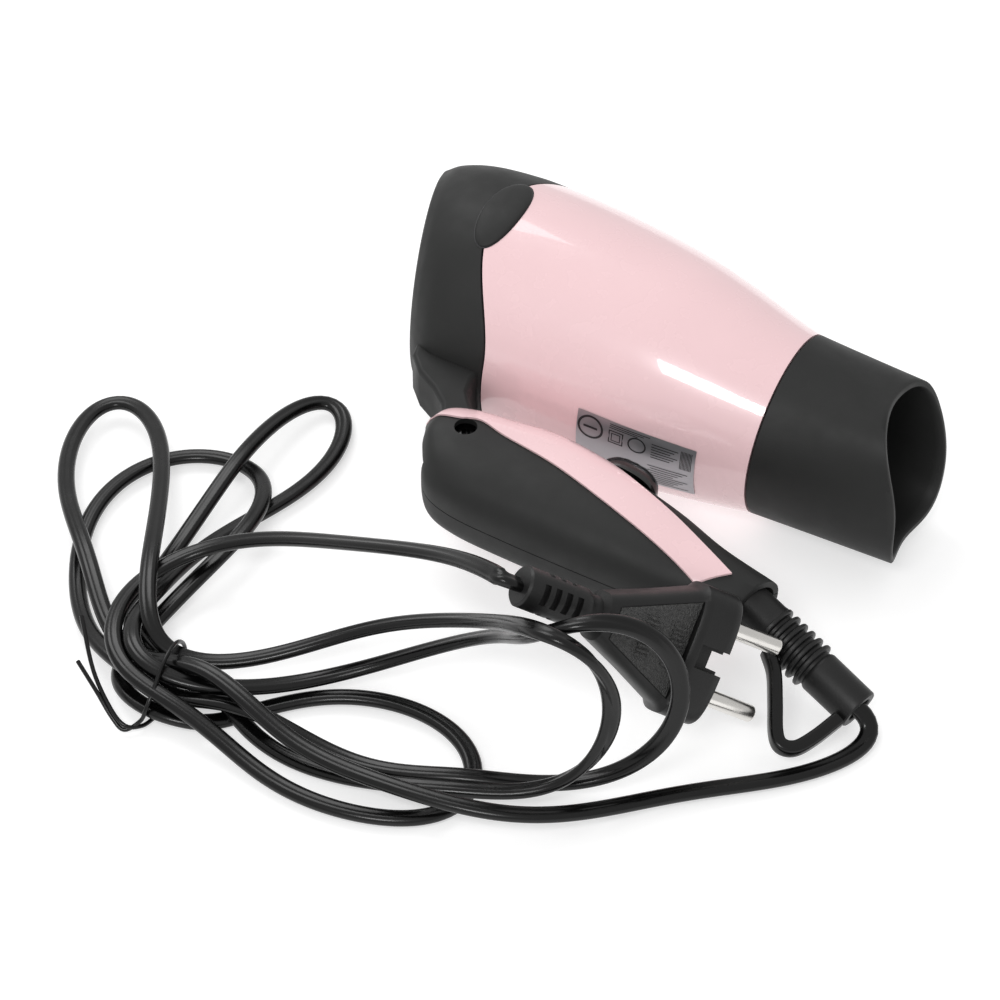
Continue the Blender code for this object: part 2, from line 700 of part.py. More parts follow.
def handle_fixings(frame):
    for i, (u, v, _) in enumerate(HANDLE_SCREWS, 1):
        screw = turned(
            f"handle_screw_{i}",
            [(0, 8), (1.1, 8), (1.1, -9.2), (2.5, -9.2), (2.5, -10.8), (0, -10.8)],
            PARTS,
            12,
        )
        own(screw, frame, steel(), (u, v, 0))


def switch(frame):
    slide = joint_frame("switch_slide", frame, (*SWITCH_AT, 0), SWITCH_TURN)
    outline = [(-9.5, 0.6), (9.5, 0.6), (8.5, 4.6), (5, 7.0), (-5, 7.0), (-8.5, 4.6)]
    cap = prism("switch_slider", outline, -6.5, 6.5, PARTS)
    combine(cap, box("stem", (-2.5, -5, -1.8), (2.5, 1.5, 1.8), CUTTERS), "UNION")
    own(cap, slide, black_rubber(), local=True)
    body = box("switch_body", (-42, -62, -6.5), (-17, -50.5, 6.5), PARTS)
    own(body, frame, grey_plastic())


def handle_wiring(frame):
    own(box("cord_clamp", (-2, -73.5, -6), (5, -69.2, 6), PARTS), frame, grey_plastic())
    for side, name in ((1, "lead_live"), (-1, "lead_neutral")):
        w = side * 1.8
        route = [(12.5, -66.3, w), (7, -66.6, w), (0, -65.5, w), (-8, -61, w), (-16.6, -57.5, w)]
        own(tube(name, route, 1.1, PARTS), frame, material(name, (0.25, 0.12, 0.05), 0.5))


# ---------------------------------------------------------------- cord exit


def boot_profile():
    ribs, pitch, first = 6, 2.8, 24.0
    points = [(0, 33), (3.8, 33), (3.8, BOOT_LENGTH), (6.0, BOOT_LENGTH), (6.1, first + 0.6)]
    for i in range(ribs):
        z = first - pitch * i
        points += [(5.6, z), (5.6, z - 0.8), (6.9, z - 1.1), (6.9, z - 2.2)]
    return points + [(BOOT_RADIUS, first - pitch * ribs - 1), (BOOT_RADIUS, -3), (0, -3)]


def cord_exit(frame):
    run = Vector(BOOT_END) - Vector(BOOT_START)
    axis = run.normalized()
    across = axis.cross(Vector((0, 0, 1))).normalized()
    turn = Matrix((across, axis.cross(across), axis)).transposed()
    exit_frame = joint_frame("cord_exit", frame, BOOT_START, turn)
    own(turned("strain_relief_boot", boot_profile(), PARTS, 14), exit_frame, black_rubber(), local=True)
    loop = prism("hang_loop", HANG_LOOP, -2.2, 2.2, PARTS)
    loop.data.transform(Matrix(((0, 1, 0, 0), (0, 0, 1, 0), (1, 0, 0, 0), (0, 0, 0, 1))))
    own(loop, exit_frame, black_rubber(), local=True)


def plug():
    pins, line = Vector(PINS_POINT).normalized(), Vector(PIN_LINE).normalized()
    line = (line - pins * line.dot(pins)).normalized()
    frame = joint_frame("plug_face", None, PLUG_AT, Matrix((line, pins.cross(line), pins)).transposed())
    rings = []
    for z, half_x, half_y, power in PLUG:
        angles = (math.pi * i / 14 for i in range(28))
        rings.append([at(*superellipse(half_x, half_y, power, a), z) for a in angles])
    body = loft("plug_body", rings, PARTS)
    combine(body, box("face_slot", (-2.4, -12, -3.5), (2.4, 12, 2), CUTTERS), "DIFFERENCE")
    for low, high in ((5.2, 12), (-12, -5.2)):
        combine(body, box("earth_notch", (-3.2, low, -9), (3.2, high, 2), CUTTERS), "DIFFERENCE")
    own(body, frame, black_rubber(), local=True)
    for i, x in enumerate((-PIN_SPACING / 2, PIN_SPACING / 2), 1):
        pin = rod(f"plug_pin_{i}", (x, 0, GAP), (x, 0, PIN_LENGTH), PIN_RADIUS_MM, PARTS, 14)
        own(pin, frame, steel(), local=True)
    return frame


def tie_crossing(across, height, way):
    """Three points that take a strand straight through the tie."""
    run, place = np.array(TIE_ALONG), np.array(TIE_AT)
    side = np.array((-run[1], run[0]))
    spots = (place + side * across + run * way * along for along in (-TIE_STRAIGHT, 0, TIE_STRAIGHT))
    return [(*spot, height) for spot in spots]


def route_points(boot_mouth, boot_way, plug_tail, plug_way):
    """All of the route's own points, from inside the boot to the plug's tail."""
    start = [boot_mouth - boot_way * 6.5, boot_mouth + boot_way * 1.5]
    stretches = [RUN_FROM_BOOT, LOOP_A, LOOP_B, LOOP_C, LOOP_D, LOOP_E, LOOP_F, RUN_TO_PLUG]
    points = start + list(stretches[0])
    for crossing, stretch in zip(TIE_CROSSINGS, stretches[1:]):
        points += tie_crossing(*crossing) + list(stretch)
    return np.array(points + [plug_tail + plug_way * 5.6, plug_tail], float)


def smooth_curve(points, parts=8):
    """Centripetal Catmull-Rom through the points."""
    padded = np.vstack([2 * points[0] - points[1], points, 2 * points[-1] - points[-2]])
    curve = []
    for p0, p1, p2, p3 in zip(padded, padded[1:], padded[2:], padded[3:]):
        t1 = np.linalg.norm(p1 - p0) ** 0.5
        t2 = t1 + np.linalg.norm(p2 - p1) ** 0.5
        t3 = t2 + np.linalg.norm(p3 - p2) ** 0.5
        for t in np.linspace(t1, t2, parts, endpoint=False):
            a1 = (t1 - t) / t1 * p0 + t / t1 * p1
            a2 = (t2 - t) / (t2 - t1) * p1 + (t - t1) / (t2 - t1) * p2
            a3 = (t3 - t) / (t3 - t2) * p2 + (t - t2) / (t3 - t2) * p3
            b1 = (t2 - t) / t2 * a1 + t / t2 * a2
            b2 = (t3 - t) / (t3 - t1) * a2 + (t - t1) / (t3 - t1) * a3
            curve.append((t2 - t) / (t2 - t1) * b1 + (t - t1) / (t2 - t1) * b2)
    return np.array(curve + [points[-1]])


def spread_evenly(curve, count):
    reached = np.concatenate([[0], np.cumsum(np.linalg.norm(np.diff(curve, axis=0), axis=1))])
    spots = np.linspace(0, reached[-1], count)
    return np.stack([np.interp(spots, reached, curve[:, k]) for k in range(3)], axis=1)


def spread_by_bend(curve, count):
    """Points further apart where the curve runs straight than where it bends."""
    steps = np.diff(curve, axis=0)
    lengths = np.linalg.norm(steps, axis=1)
    ways = steps / lengths[:, None]
    turns = np.arccos(np.clip((ways[1:] * ways[:-1]).sum(axis=1), -1, 1))
    effort = lengths + CORD_BEND_SHARE * np.concatenate([[0], turns])
    reached = np.concatenate([[0], np.cumsum(effort)])
    spots = np.linspace(0, reached[-1], count)
    return np.stack([np.interp(spots, reached, curve[:, k]) for k in range(3)], axis=1)


def settle(curve, rounds=400, held=3):
    """Push strands that pass too near each other apart, keeping the cord smooth and off the floor."""
    points = curve.copy()
    tie = np.array(TIE_AT)
    order = np.arange(len(points))
    apart = np.abs(order[:, None] - order[None]) * CORD_STEP > 16
    for _ in range(rounds):
        way = points[:, None] - points[None]
        gap = np.linalg.norm(way, axis=2) + 1e-9
        over = np.where(apart, np.maximum(CORD_CLEAR - gap, 0), 0)
        push = 0.35 * (way / gap[..., None] * over[..., None]).sum(axis=1)
        push /= np.sqrt(np.maximum((over > 0).sum(axis=1), 1))[:, None]
        points[held:-held] += push[held:-held]
        bend = np.zeros_like(points)
        near, wide = points[1:-3] + points[3:-1], points[:-4] + points[4:]
        bend[2:-2] = (4 * near - wide - 6 * points[2:-2]) / 16
        points[held:-held] += 0.9 * bend[held:-held]
        in_tie = np.linalg.norm(points[:, :2] - tie, axis=1) < TIE_STRAIGHT
        points[:, 2] = np.maximum(points[:, 2], np.where(in_tie, TIE_FLOOR, CORD_FLOOR))
    return points


def cord(exit_frame, plug_frame):
    bpy.context.view_layer.update()
    mouth = exit_frame.matrix_world @ Vector((0, 0, BOOT_LENGTH * MM)) / MM
    way = exit_frame.matrix_world.to_3x3() @ Vector((0, 0, 1))
    tail = plug_frame.matrix_world @ Vector((0, 0, (PLUG[-1][0] - 2 * GAP) * MM)) / MM
    tail_way = plug_frame.matrix_world.to_3x3() @ Vector((0, 0, -1))
    route = route_points(*(np.array(spot) for spot in (mouth, way, tail, tail_way)))
    curve = smooth_curve(route)
    length = np.linalg.norm(np.diff(curve, axis=0), axis=1).sum()
    settled = settle(spread_evenly(curve, round(length / CORD_STEP) + 1))
    line = tube("mains_cord", spread_by_bend(settled, CORD_POINTS), CORD_RADIUS, PARTS)
    line.data.materials.append(black_rubber())


def cord_tie():
    """A thin wire once round the bundle, its two ends twisted away to the left."""
    run = np.array((*TIE_ALONG, 0))
    side = np.array((-run[1], run[0], 0))
    place = np.array((*TIE_AT, 0))
    loop = [
        (-21, 2.6, 1.6), (-16.5, 1.6, 1.2), (-11.5, 0.9, 0.8), (-5, 0.8, 0), (8, 0.8, 0), (12.6, 3.4, 0),
        (15.4, 8, 0), (14.8, 12.6, 0), (10.0, 17.8, 0), (5, 19.2, 0), (0, 17.8, 0), (-8, 14.2, 0),
        (-12.6, 10.6, -0.4), (-13.8, 4.6, -0.8), (-16.5, 2.0, -1.2), (-21, 1.4, -1.6),
    ]
    points = [place + side * a + np.array((0, 0, z)) + run * along for a, z, along in loop]
    own_tie = tube("cord_tie", points, 0.5, PARTS)
    own_tie.data.materials.append(black_rubber())


def main():
    bpy.context.scene.unit_settings.scale_length = 1
    rest = Matrix.Rotation(NOSE_DOWN, 4, "Y") @ Matrix.Rotation(HANDLE_DOWN, 4, "X")
    dryer = joint_frame("dryer", None, (0, 0, 0), rest)
    dryer.location = at(*MOUTH)
    handle = joint_frame("handle", dryer, (0, 0, 0))
    barrel = joint_frame("barrel", dryer, (*PIVOT, 0))
    barrel_shells(barrel)
    rear_hood(barrel)
    intake(barrel)
    inlays(barrel)
    rating_label(barrel)
    motor_mount(barrel)
    motor(barrel)
    fan(barrel)
    heater(barrel)
    outlet(barrel)
    nozzle(barrel)
    handle_shells(handle)
    stripes(handle)
    hinge(handle)
    handle_fixings(handle)
    switch(handle)
    handle_wiring(handle)
    cord_exit(handle)
    cord(bpy.data.objects["cord_exit"], plug())
    cord_tie()


clear_scene()
PARTS = collection("hair_dryer")
CUTTERS = collection("cutters", hidden=True)
main()
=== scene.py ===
"""Looks for the folding hair dryer: finely shaped outer pieces and procedural materials.

Shapes are drawn in the dryer's own axes, in millimetres from the centre of the barrel's mouth:
u runs along the barrel to the nozzle, v is the barrel's top, w its left side. at() turns such a point
into the frame's metres, by the joints' own places and axes.
"""

import json
import math

import bmesh
import bpy
import numpy as np
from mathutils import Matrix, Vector


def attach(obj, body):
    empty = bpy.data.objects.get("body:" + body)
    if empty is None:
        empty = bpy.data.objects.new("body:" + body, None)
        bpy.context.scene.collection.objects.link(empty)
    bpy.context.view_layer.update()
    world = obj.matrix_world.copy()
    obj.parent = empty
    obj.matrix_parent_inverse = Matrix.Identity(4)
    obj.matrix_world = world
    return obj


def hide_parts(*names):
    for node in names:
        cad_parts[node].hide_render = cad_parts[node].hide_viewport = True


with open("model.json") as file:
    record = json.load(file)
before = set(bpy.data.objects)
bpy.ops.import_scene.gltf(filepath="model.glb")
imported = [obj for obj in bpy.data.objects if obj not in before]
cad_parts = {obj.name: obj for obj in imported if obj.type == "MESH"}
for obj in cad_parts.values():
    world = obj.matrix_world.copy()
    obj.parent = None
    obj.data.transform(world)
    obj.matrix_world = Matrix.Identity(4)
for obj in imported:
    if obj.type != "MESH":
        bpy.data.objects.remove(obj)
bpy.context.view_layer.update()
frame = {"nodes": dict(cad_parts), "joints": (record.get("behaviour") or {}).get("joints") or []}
JOINTS = {joint["name"]: joint for joint in frame["joints"]}
NODES = frame["nodes"]
MM = 0.001

# The dryer's axes, from the joints: the nozzle turns about u at the mouth, the handle folds about w.
ALONG = Vector(JOINTS["nozzle_swivel"]["axis"]).normalized()
LEFT = Vector(JOINTS["handle_fold"]["axis"]).normalized()
TOP = LEFT.cross(ALONG).normalized()
MOUTH = Vector(JOINTS["nozzle_swivel"]["pos_m"])

# Barrel: (u, v of the centre, radius), from the rear rim to the mouth.
BARREL = [
    (-117, 4.0, 30.2), (-113, 4.4, 33.2), (-106, 4.8, 35.8), (-97, 5.1, 37.0), (-88, 5.1, 37.2),
    (-76, 4.9, 37.0), (-62, 4.4, 36.3), (-48, 3.7, 35.3), (-34, 2.6, 33.8), (-20, 1.4, 31.3),
    (-8, 0.4, 28.7), (0, 0, 27.0),
]
REAR_SLANT = 0.32
REAR_HOLE = 27.4
REAR_GRILLE_DEEP = 3.2
OUTLET_AT = -13
SEAM_SIDE = -94.5
SEAM_STEP = 13.6
SEAM_GAP = 0.35
SEAM_LIP = 0.45
SHELL_WALL = 2.0
OVAL_AT = (-93.3, -2.0)
OVAL_HALF = (5.7, 21.5)
OVAL_DOME = [  # (share of the oval's size, rise over the barrel)
    (1.0, -0.8), (1.0, 0.25), (0.985, 0.5), (0.94, 0.68), (0.85, 0.8), (0.65, 0.93), (0.35, 1.0),
    (0.04, 1.02),
]
OVAL_LINE = [(1.035, 0.02), (1.035, 0.12), (0.995, 0.12), (0.995, -0.4)]
LABEL_U = (-50.4, -14.5)
LABEL_TURNS = (-111.0, -75.0)
LABEL_ROUND = 22.0  # its width round the barrel, in millimetres
LABEL_CELLS = (40, 30)  # rows of points in a mark as long, or as wide, as the label
FOIL_RISE = 0.3
PRINT_RISE = 0.36

# Nozzle: a round base that becomes a rounded square with a slanted, saddle-shaped mouth.
NOZZLE_LENGTH = 38.5
NOZZLE_BASE = 27.0
NOZZLE_HALF = (22.3, 21.8)
NOZZLE_POWER = 3.6
NOZZLE_TURN = math.radians(75)
NOZZLE_SADDLE = 3.0
NOZZLE_SLOPE = (-0.094, -0.25)
NOZZLE_WALL = 1.8
NOZZLE_BORE = 23.2

# Handle sections: front (u, v), back (u, v), half thickness, exponent.
PIVOT = (-72.5, -56.0)
LUG_RADIUS = 10.5
LUG_HALF = 7.6
LUG_NECK = [(-104, -27.5), (-81.5, -27.5), (-82.6, -33.8), (-81.5, -38.5), (-78.0, -42.8)]
LUG_HOLE = 2.9
SLOT_HALF = 8.2
SLOT_LOW = (-100, -69)
SLOT_HIGH = (-60.5, -30)
SCREW_RECESS = 3.25
HANDLE = [
    (-84.0, -52.5, -84.5, -59.0, 9.5, 2.4), (-80.5, -48.0, -82.0, -65.0, 12.5, 2.8),
    (-74.0, -45.0, -76.0, -73.0, 13.6, 3.0), (-64.0, -43.5, -66.0, -76.5, 14.0, 3.0),
    (-48.0, -42.0, -50.0, -77.5, 14.2, 3.0), (-28.0, -44.8, -32.0, -77.8, 13.8, 2.9),
    (-8.0, -49.5, -14.0, -77.8, 12.8, 2.7), (8.0, -54.5, 0.0, -77.4, 11.2, 2.4),
    (24.4, -57.4, 18.1, -74.6, 9.1, 2.0),
]
STRIPE = [
    (-85.5, -55.5), (-84, -47), (-78, -43), (-68.5, -40.5), (-57, -39), (-46, -40.5), (-25, -49),
    (-5.5, -57), (14.5, -66), (7, -73), (-8, -68), (-26, -62.5), (-44, -57.5), (-61, -54.5),
    (-70, -52), (-76, -54),
]
STRIPE_CORNERS = (0, 8, 9)
HANDLE_WALL = 1.8
KNOB_NARROWS = 0.35
KNOB_THINS = 0.72
KNOB_REACH = 1.2
SWITCH_AT = (-29.0, -43.6)
SWITCH_TURN = math.radians(-7.5)
SWITCH_HALF = (9.5, 6.5)
SWITCH_DOME = [  # (height, share of the thumb piece's size)
    (0.6, 1.0), (1.6, 1.0), (3.2, 0.96), (4.8, 0.86), (6.0, 0.7), (6.8, 0.48), (7.1, 0.2),
    (7.15, 0.02),
]
HINGE_SCREW = [
    (0, 9.3), (3.0, 9.3), (3.0, 10.6), (2.5, 11.2), (1.3, 11.4), (1.25, 10.4), (0, 10.4),
]
GRIP_SCREW = [
    (0, 8), (1.1, 8), (1.1, -9.2), (2.5, -9.2), (2.5, -10.5), (2.1, -10.8), (0.8, -10.8),
    (0.8, -10.0), (0, -10.0),
]
GRIP_SCREWS_AT = [(-56.0, -68.0), (-10.0, -66.0)]

# The cord's strain relief, its hang loop, and the plug.
BOOT_START = (21.2, -66.0, 0.0)
BOOT_END = (58.2, -76.5, -9.4)
BOOT_RADIUS = 6.5
BOOT_LENGTH = 40.0
BOOT_RIBS = 6
BOOT_PITCH = 2.8
FIRST_RIB = 24.0
# One rib: (radius, step back from where the rib starts).
BOOT_RIB = [(5.5, 0), (5.5, -0.8), (6.7, -1.05), (6.95, -1.3), (6.95, -2.0), (6.7, -2.25)]
HANG_LOOP = [
    (12.0, 6.6), (17.5, 10.0), (24.0, 16.5), (30.0, 22.8), (33.6, 24.6), (36.6, 22.2), (37.8, 16.0),
    (38.2, 6.8),
]
PLUG_AT = (54.7, -65.05, 26.5)
PINS_POINT = (0.650, 0.518, -0.555)
PIN_LINE = (-0.049, -0.703, -0.709)
PIN_SPACING = 19.0
PIN_LENGTH = 19.0
PIN_RADIUS = 2.4
PLUG = [
    (0, 17.6, 8.4, 3.2), (-0.6, 18.0, 8.8, 3.2), (-10.8, 18.0, 8.8, 3.2), (-12, 16.4, 8.0, 3.4),
    (-24, 11.4, 7.4, 3.4), (-37, 6.6, 6.4, 3.0), (-38, 4.8, 4.8, 2.0), (-41, 4.8, 4.8, 2.0),
    (-42, 5.6, 5.6, 2.0), (-60.4, 5.6, 5.6, 2.0), (-61, 5.0, 5.0, 2.0),
]

# Camera and light.
LOOK_AT = Vector((-0.0396, -0.0062, 0))
TO_CAMERA = Vector((0.3643, -0.6739, 0.6428)).normalized()
CAMERA_FAR = 0.966

# The cord's route in world millimetres, loop by loop between its crossings of the tie.
RUN_FROM_BOOT = [  # from the boot to the tie
    (93, -45, 3.6), (94, -50, 3), (93, -60, 3), (84, -72, 3), (74, -79, 3), (64, -87, 3),
    (54, -98, 3.4), (45, -109, 5), (34, -121, 8), (23, -127, 9), (12, -129, 9), (-2, -129, 9),
    (-17, -130, 9), (-33, -129, 8.6), (-49, -127, 8.4),
]
LOOP_A = [  # tall loop at the far left
    (-108, -105, 10), (-127, -90, 10), (-145, -72, 8), (-159, -48, 6), (-164, -30, 5),
    (-160, -21, 5), (-149, -26, 6), (-135, -39, 8.5), (-123, -57, 11), (-110, -79, 14),
    (-99, -99, 16), (-91, -111, 14),
]
LOOP_B = [  # inner right loop
    (-62, -107, 8.5), (-52, -97, 10), (-41, -88, 14), (-27, -88, 22.2), (-10, -89, 31.6),
    (7, -91, 39.2), (30, -113, 61.8), (36, -110, 60.1), (40, -103, 52.9), (43, -100, 41.5),
    (45, -102, 33.5), (44, -103, 23.3), (39, -105, 14.2), (33, -109, 8), (24, -114, 4.2),
    (15, -119, 3.4), (3, -123, 3.2), (-11, -126, 3.2), (-25, -128, 3.2), (-40, -128, 3.2),
]
LOOP_C = [  # long slanting left loop
    (-99, -107, 3.2), (-105, -90, 3), (-109, -69, 3), (-110, -54, 5), (-109, -35, 8.5),
    (-111, -11, 6), (-109, 5, 4), (-105, 11, 3), (-99, 7, 3), (-93, -3, 3), (-90, -17, 3),
    (-90, -32, 3), (-95, -45, 3), (-99, -55, 3), (-102, -67, 3), (-103, -79, 4), (-99, -94, 7.6),
    (-96, -106, 8),
]
LOOP_D = [  # outer right loop, over the plug
    (-57, -115, 6), (-47, -105, 5), (-37, -95, 6), (-26, -87, 10.3), (-12, -86, 19.6),
    (3, -85, 29.3), (27, -108, 57.5), (36, -105, 62), (42, -92, 56.8), (48, -86, 50.5),
    (54, -86, 46.4), (58, -87, 39.4), (59, -89, 31.2), (56, -93, 22), (50, -94, 12.9), (40, -98, 6),
    (31, -104, 3.4), (23, -110, 3), (14, -115, 3), (3, -118, 3), (-7, -121, 3), (-24, -123, 3.2),
    (-40, -123, 3.2),
]
LOOP_E = [  # wide left loop
    (-94, -123, 3.4), (-107, -115, 3), (-120, -103, 3), (-129, -91, 3), (-135, -78, 3),
    (-139, -64, 3), (-139, -52, 3), (-135, -41, 3), (-128, -34, 3), (-119, -30, 3), (-109, -31, 4),
    (-99, -40, 6.5), (-92, -51, 9), (-92, -63, 8.6), (-93, -74, 8), (-95, -86, 7.5), (-97, -99, 3.6),
]
LOOP_F = [  # small right loop
    (-58, -119, 3.2), (-48, -110, 3), (-34, -101, 3), (-21, -97, 3), (-8, -98, 3), (3, -103, 3),
    (10, -109, 3), (12, -119, 3), (11, -126, 3), (5, -132, 3), (-5, -136, 3), (-18, -138, 3),
    (-33, -139, 3), (-49, -138, 3.2),
]
RUN_TO_PLUG = [  # up to the plug
    (-97, -120, 9), (-102, -108, 9.5), (-105, -96, 10), (-102, -85, 11), (-96, -78, 13),
    (-85, -74, 17.3), (-68, -74, 24.3), (-51, -78, 33.4), (-32, -82, 42.6), (-14, -86, 50.7),
    (3, -93, 58.3),
]
# Where the tie holds the bundle, the way its strands run, and each crossing: (across, height, way).
TIE_AT = (-78.6, -123.6)
TIE_ALONG = (0.989, 0.15)
TIE_CROSSINGS = [
    (4.6, 8.2, -1), (9.2, 8.2, 1), (4.4, 3.6, -1), (0.0, 8.2, 1), (0.0, 3.6, -1), (-4.4, 3.6, 1),
    (-4.6, 8.2, -1),
]
TIE_STRAIGHT = 13.0
TIE_RADIUS = 0.6
TIE_LOOP = [
    (5, 19, -26), (-6, 11, -18), (-13, 5.5, -10), (-15.2, 3, -5), (-12.6, 1.6, -1.8), (-9, 0.8, -0.6),
    (-5, 0.8, 0), (8, 0.8, 0), (11.8, 2.8, 0), (13.4, 6.8, 0), (12.4, 10.8, 0), (8.8, 14, 0),
    (3.5, 14.8, 0), (-1.5, 13.4, 0), (-7.2, 10.2, 0), (-11, 6.8, -0.6), (-12.4, 3.4, -1.8),
    (-15.4, 1.6, -5.4), (-14.2, 4, -9.4), (-10.6, 8, -15), (-5, 12, -23),
]
TIE_FLOOR = 3.8
CORD_WIDTH = 5.0
CORD_THICK = 3.2
CORD_FLOOR = 2.1
CORD_CLEAR = 5.0
CORD_STEP = 5.0
CORD_RINGS = 1240
CORD_NEIGHBOUR = 16  # points nearer than this along the cord aren't pushed apart

# Nodes of the CAD that show as they are, by their material.
MOULDED_NODES = (
    "motor_mount", "nozzle_snap_ring", "fan_impeller", "switch_body", "cord_clamp", "thermostat",
    "outlet_grille",
)
LEAD_NODES = ("lead_live", "lead_neutral")
MICA_NODES = ("mica_liner_tube", "mica_plate_a", "mica_plate_b")
STEEL_NODES = (
    "motor_can", "motor_shaft", "heating_coil", "thermal_fuse", "hinge_pin", "hinge_washer_left",
    "hinge_washer_right", "detent_ball", "detent_spring",
)


def at(u, v, w=0.0):
    return MOUTH + (ALONG * u + TOP * v + LEFT * w) * MM


def shifted(place, x0, y0, angle=0.0):
    """place(x, y, z) drawn from another origin, with x and y turned by an angle."""
    c, s = math.cos(angle), math.sin(angle)

    def placed(x, y, z):
        return place(x0 + x * c - y * s, y0 + x * s + y * c, z)

    return placed


def hand(side):
    return "left" if side > 0 else "right"


# ---------------------------------------------------------------- materials


def principled(name, colour, roughness, **sockets):
    mat = bpy.data.materials.new(name)
    mat.use_nodes = True
    shader = mat.node_tree.nodes["Principled BSDF"]
    shader.inputs["Base Color"].default_value = (*colour, 1)
    shader.inputs["Roughness"].default_value = roughness
    for key, value in sockets.items():
        shader.inputs[key.replace("_", " ")].default_value = value
    mat.diffuse_color = (*colour, 1)
    return mat


def node(mat, kind, **values):
    made = mat.node_tree.nodes.new(kind)
    for key, value in values.items():
        if key in made.inputs:
            made.inputs[key].default_value = value
        else:
            setattr(made, key, value)
    return made


def link(mat, source, target):
    mat.node_tree.links.new(source, target)


def object_point(mat):
    return node(mat, "ShaderNodeTexCoord").outputs["Object"]


def noise(mat, scale, detail=3.0, stretch=None):
    """A noise value in the object's own space, `scale` cycles per metre."""
    point = object_point(mat)
    if stretch:
        shaped = node(mat, "ShaderNodeMapping")
        shaped.inputs["Scale"].default_value = stretch
        link(mat, point, shaped.inputs["Vector"])
        point = shaped.outputs["Vector"]
    made = node(mat, "ShaderNodeTexNoise", Scale=scale, Detail=detail)
    link(mat, point, made.inputs["Vector"])
    return made.outputs["Fac"]


def between(mat, value, low, high):
    """A noise value, of which most lies from 0.3 to 0.7, mapped to the range from low to high."""
    ranged = node(mat, "ShaderNodeMapRange")
    ranged.inputs["From Min"].default_value = 0.3
    ranged.inputs["From Max"].default_value = 0.7
    ranged.inputs["To Min"].default_value = low
    ranged.inputs["To Max"].default_value = high
    link(mat, value, ranged.inputs["Value"])
    return ranged.outputs["Result"]


def tinted(mat, value, first, second):
    ramp = node(mat, "ShaderNodeValToRGB")
    ramp.color_ramp.elements[0].position = 0.3
    ramp.color_ramp.elements[1].position = 0.7
    ramp.color_ramp.elements[0].color = (*first, 1)
    ramp.color_ramp.elements[1].color = (*second, 1)
    link(mat, value, ramp.inputs["Fac"])
    link(mat, ramp.outputs["Color"], shader_of(mat).inputs["Base Color"])


def shader_of(mat):
    return mat.node_tree.nodes["Principled BSDF"]


def bumped(mat, value, depth, strength=1.0):
    """Raise the surface by up to `depth` millimetres with the value."""
    bump = node(mat, "ShaderNodeBump", Strength=strength, Distance=depth * MM)
    link(mat, value, bump.inputs["Height"])
    link(mat, bump.outputs["Normal"], shader_of(mat).inputs["Normal"])


def roughened(mat, value, low, high):
    link(mat, between(mat, value, low, high), shader_of(mat).inputs["Roughness"])


def scaled(colour, amount):
    return tuple(min(1, c * amount) for c in colour)


def textured(mat, colour, spread, grain, depth, rough, stretch=None):
    """Slight colour drift, a fine grain in the surface and an uneven gloss."""
    tinted(mat, noise(mat, 45, 4), scaled(colour, 1 - spread), scaled(colour, 1 + spread))
    bumped(mat, noise(mat, grain, 2, stretch), depth)
    roughened(mat, noise(mat, 130, 3), *rough)
    return mat


PINK = (0.86, 0.60, 0.62)
GREY = (0.013, 0.0133, 0.013)
BLACK = (0.002, 0.002, 0.002)


def pink_gloss():
    mat = principled("pink_gloss", PINK, 0.2, Coat_Weight=0.8, Coat_Roughness=0.04, IOR=1.5)
    return textured(mat, PINK, 0.015, 700, 0.004, (0.22, 0.3))


def soft_touch():
    mat = principled("soft_touch_grey", GREY, 0.6, Specular_IOR_Level=0.35)
    return textured(mat, GREY, 0.05, 3500, 0.02, (0.52, 0.62))


def moulded_grey():
    mat = principled("moulded_grey", GREY, 0.45, Specular_IOR_Level=0.35)
    return textured(mat, GREY, 0.06, 2600, 0.02, (0.4, 0.52))


def glossy_black():
    mat = principled("glossy_black", BLACK, 0.2, Coat_Weight=0.5, Coat_Roughness=0.08)
    return textured(mat, BLACK, 0.1, 900, 0.004, (0.16, 0.26))


def cord_black():
    mat = principled("cord_sheath", BLACK, 0.25, Specular_IOR_Level=0.35)
    return textured(mat, BLACK, 0.15, 1400, 0.01, (0.2, 0.3))


def grained_black():
    """The plug's grip panels: a coarse sparkling grain."""
    mat = principled("grained_black", (0.022, 0.022, 0.021), 0.5)
    cells = node(mat, "ShaderNodeTexVoronoi", Scale=2600.0)
    link(mat, object_point(mat), cells.inputs["Vector"])
    bumped(mat, cells.outputs["Distance"], 0.3)
    tinted(mat, noise(mat, 1800, 2), (0.012, 0.012, 0.012), (0.05, 0.05, 0.048))
    roughened(mat, noise(mat, 900, 2), 0.35, 0.6)
    return mat


def plug_black():
    mat = principled("plug_rubber", (0.008, 0.008, 0.008), 0.42, Specular_IOR_Level=0.35)
    return textured(mat, (0.008, 0.008, 0.008), 0.15, 2200, 0.04, (0.38, 0.5))


def bright_nickel(name="bright_nickel", colour=(0.74, 0.72, 0.69)):
    mat = principled(name, colour, 0.2, Metallic=1.0)
    return textured(mat, colour, 0.04, 1500, 0.004, (0.14, 0.28), (1, 1, 1))


def silver_foil():
    mat = principled("silver_foil", (0.40, 0.40, 0.42), 0.34, Metallic=0.75)
    return textured(mat, (0.40, 0.40, 0.42), 0.05, 800, 0.006, (0.3, 0.4))


def label_ink():
    mat = principled("label_ink", (0.012, 0.012, 0.014), 0.45)
    return textured(mat, (0.012, 0.012, 0.014), 0.1, 1200, 0.004, (0.4, 0.5))


def mica():
    mat = principled("mica", (0.5, 0.42, 0.3), 0.5)
    return textured(mat, (0.5, 0.42, 0.3), 0.25, 400, 0.03, (0.3, 0.6))


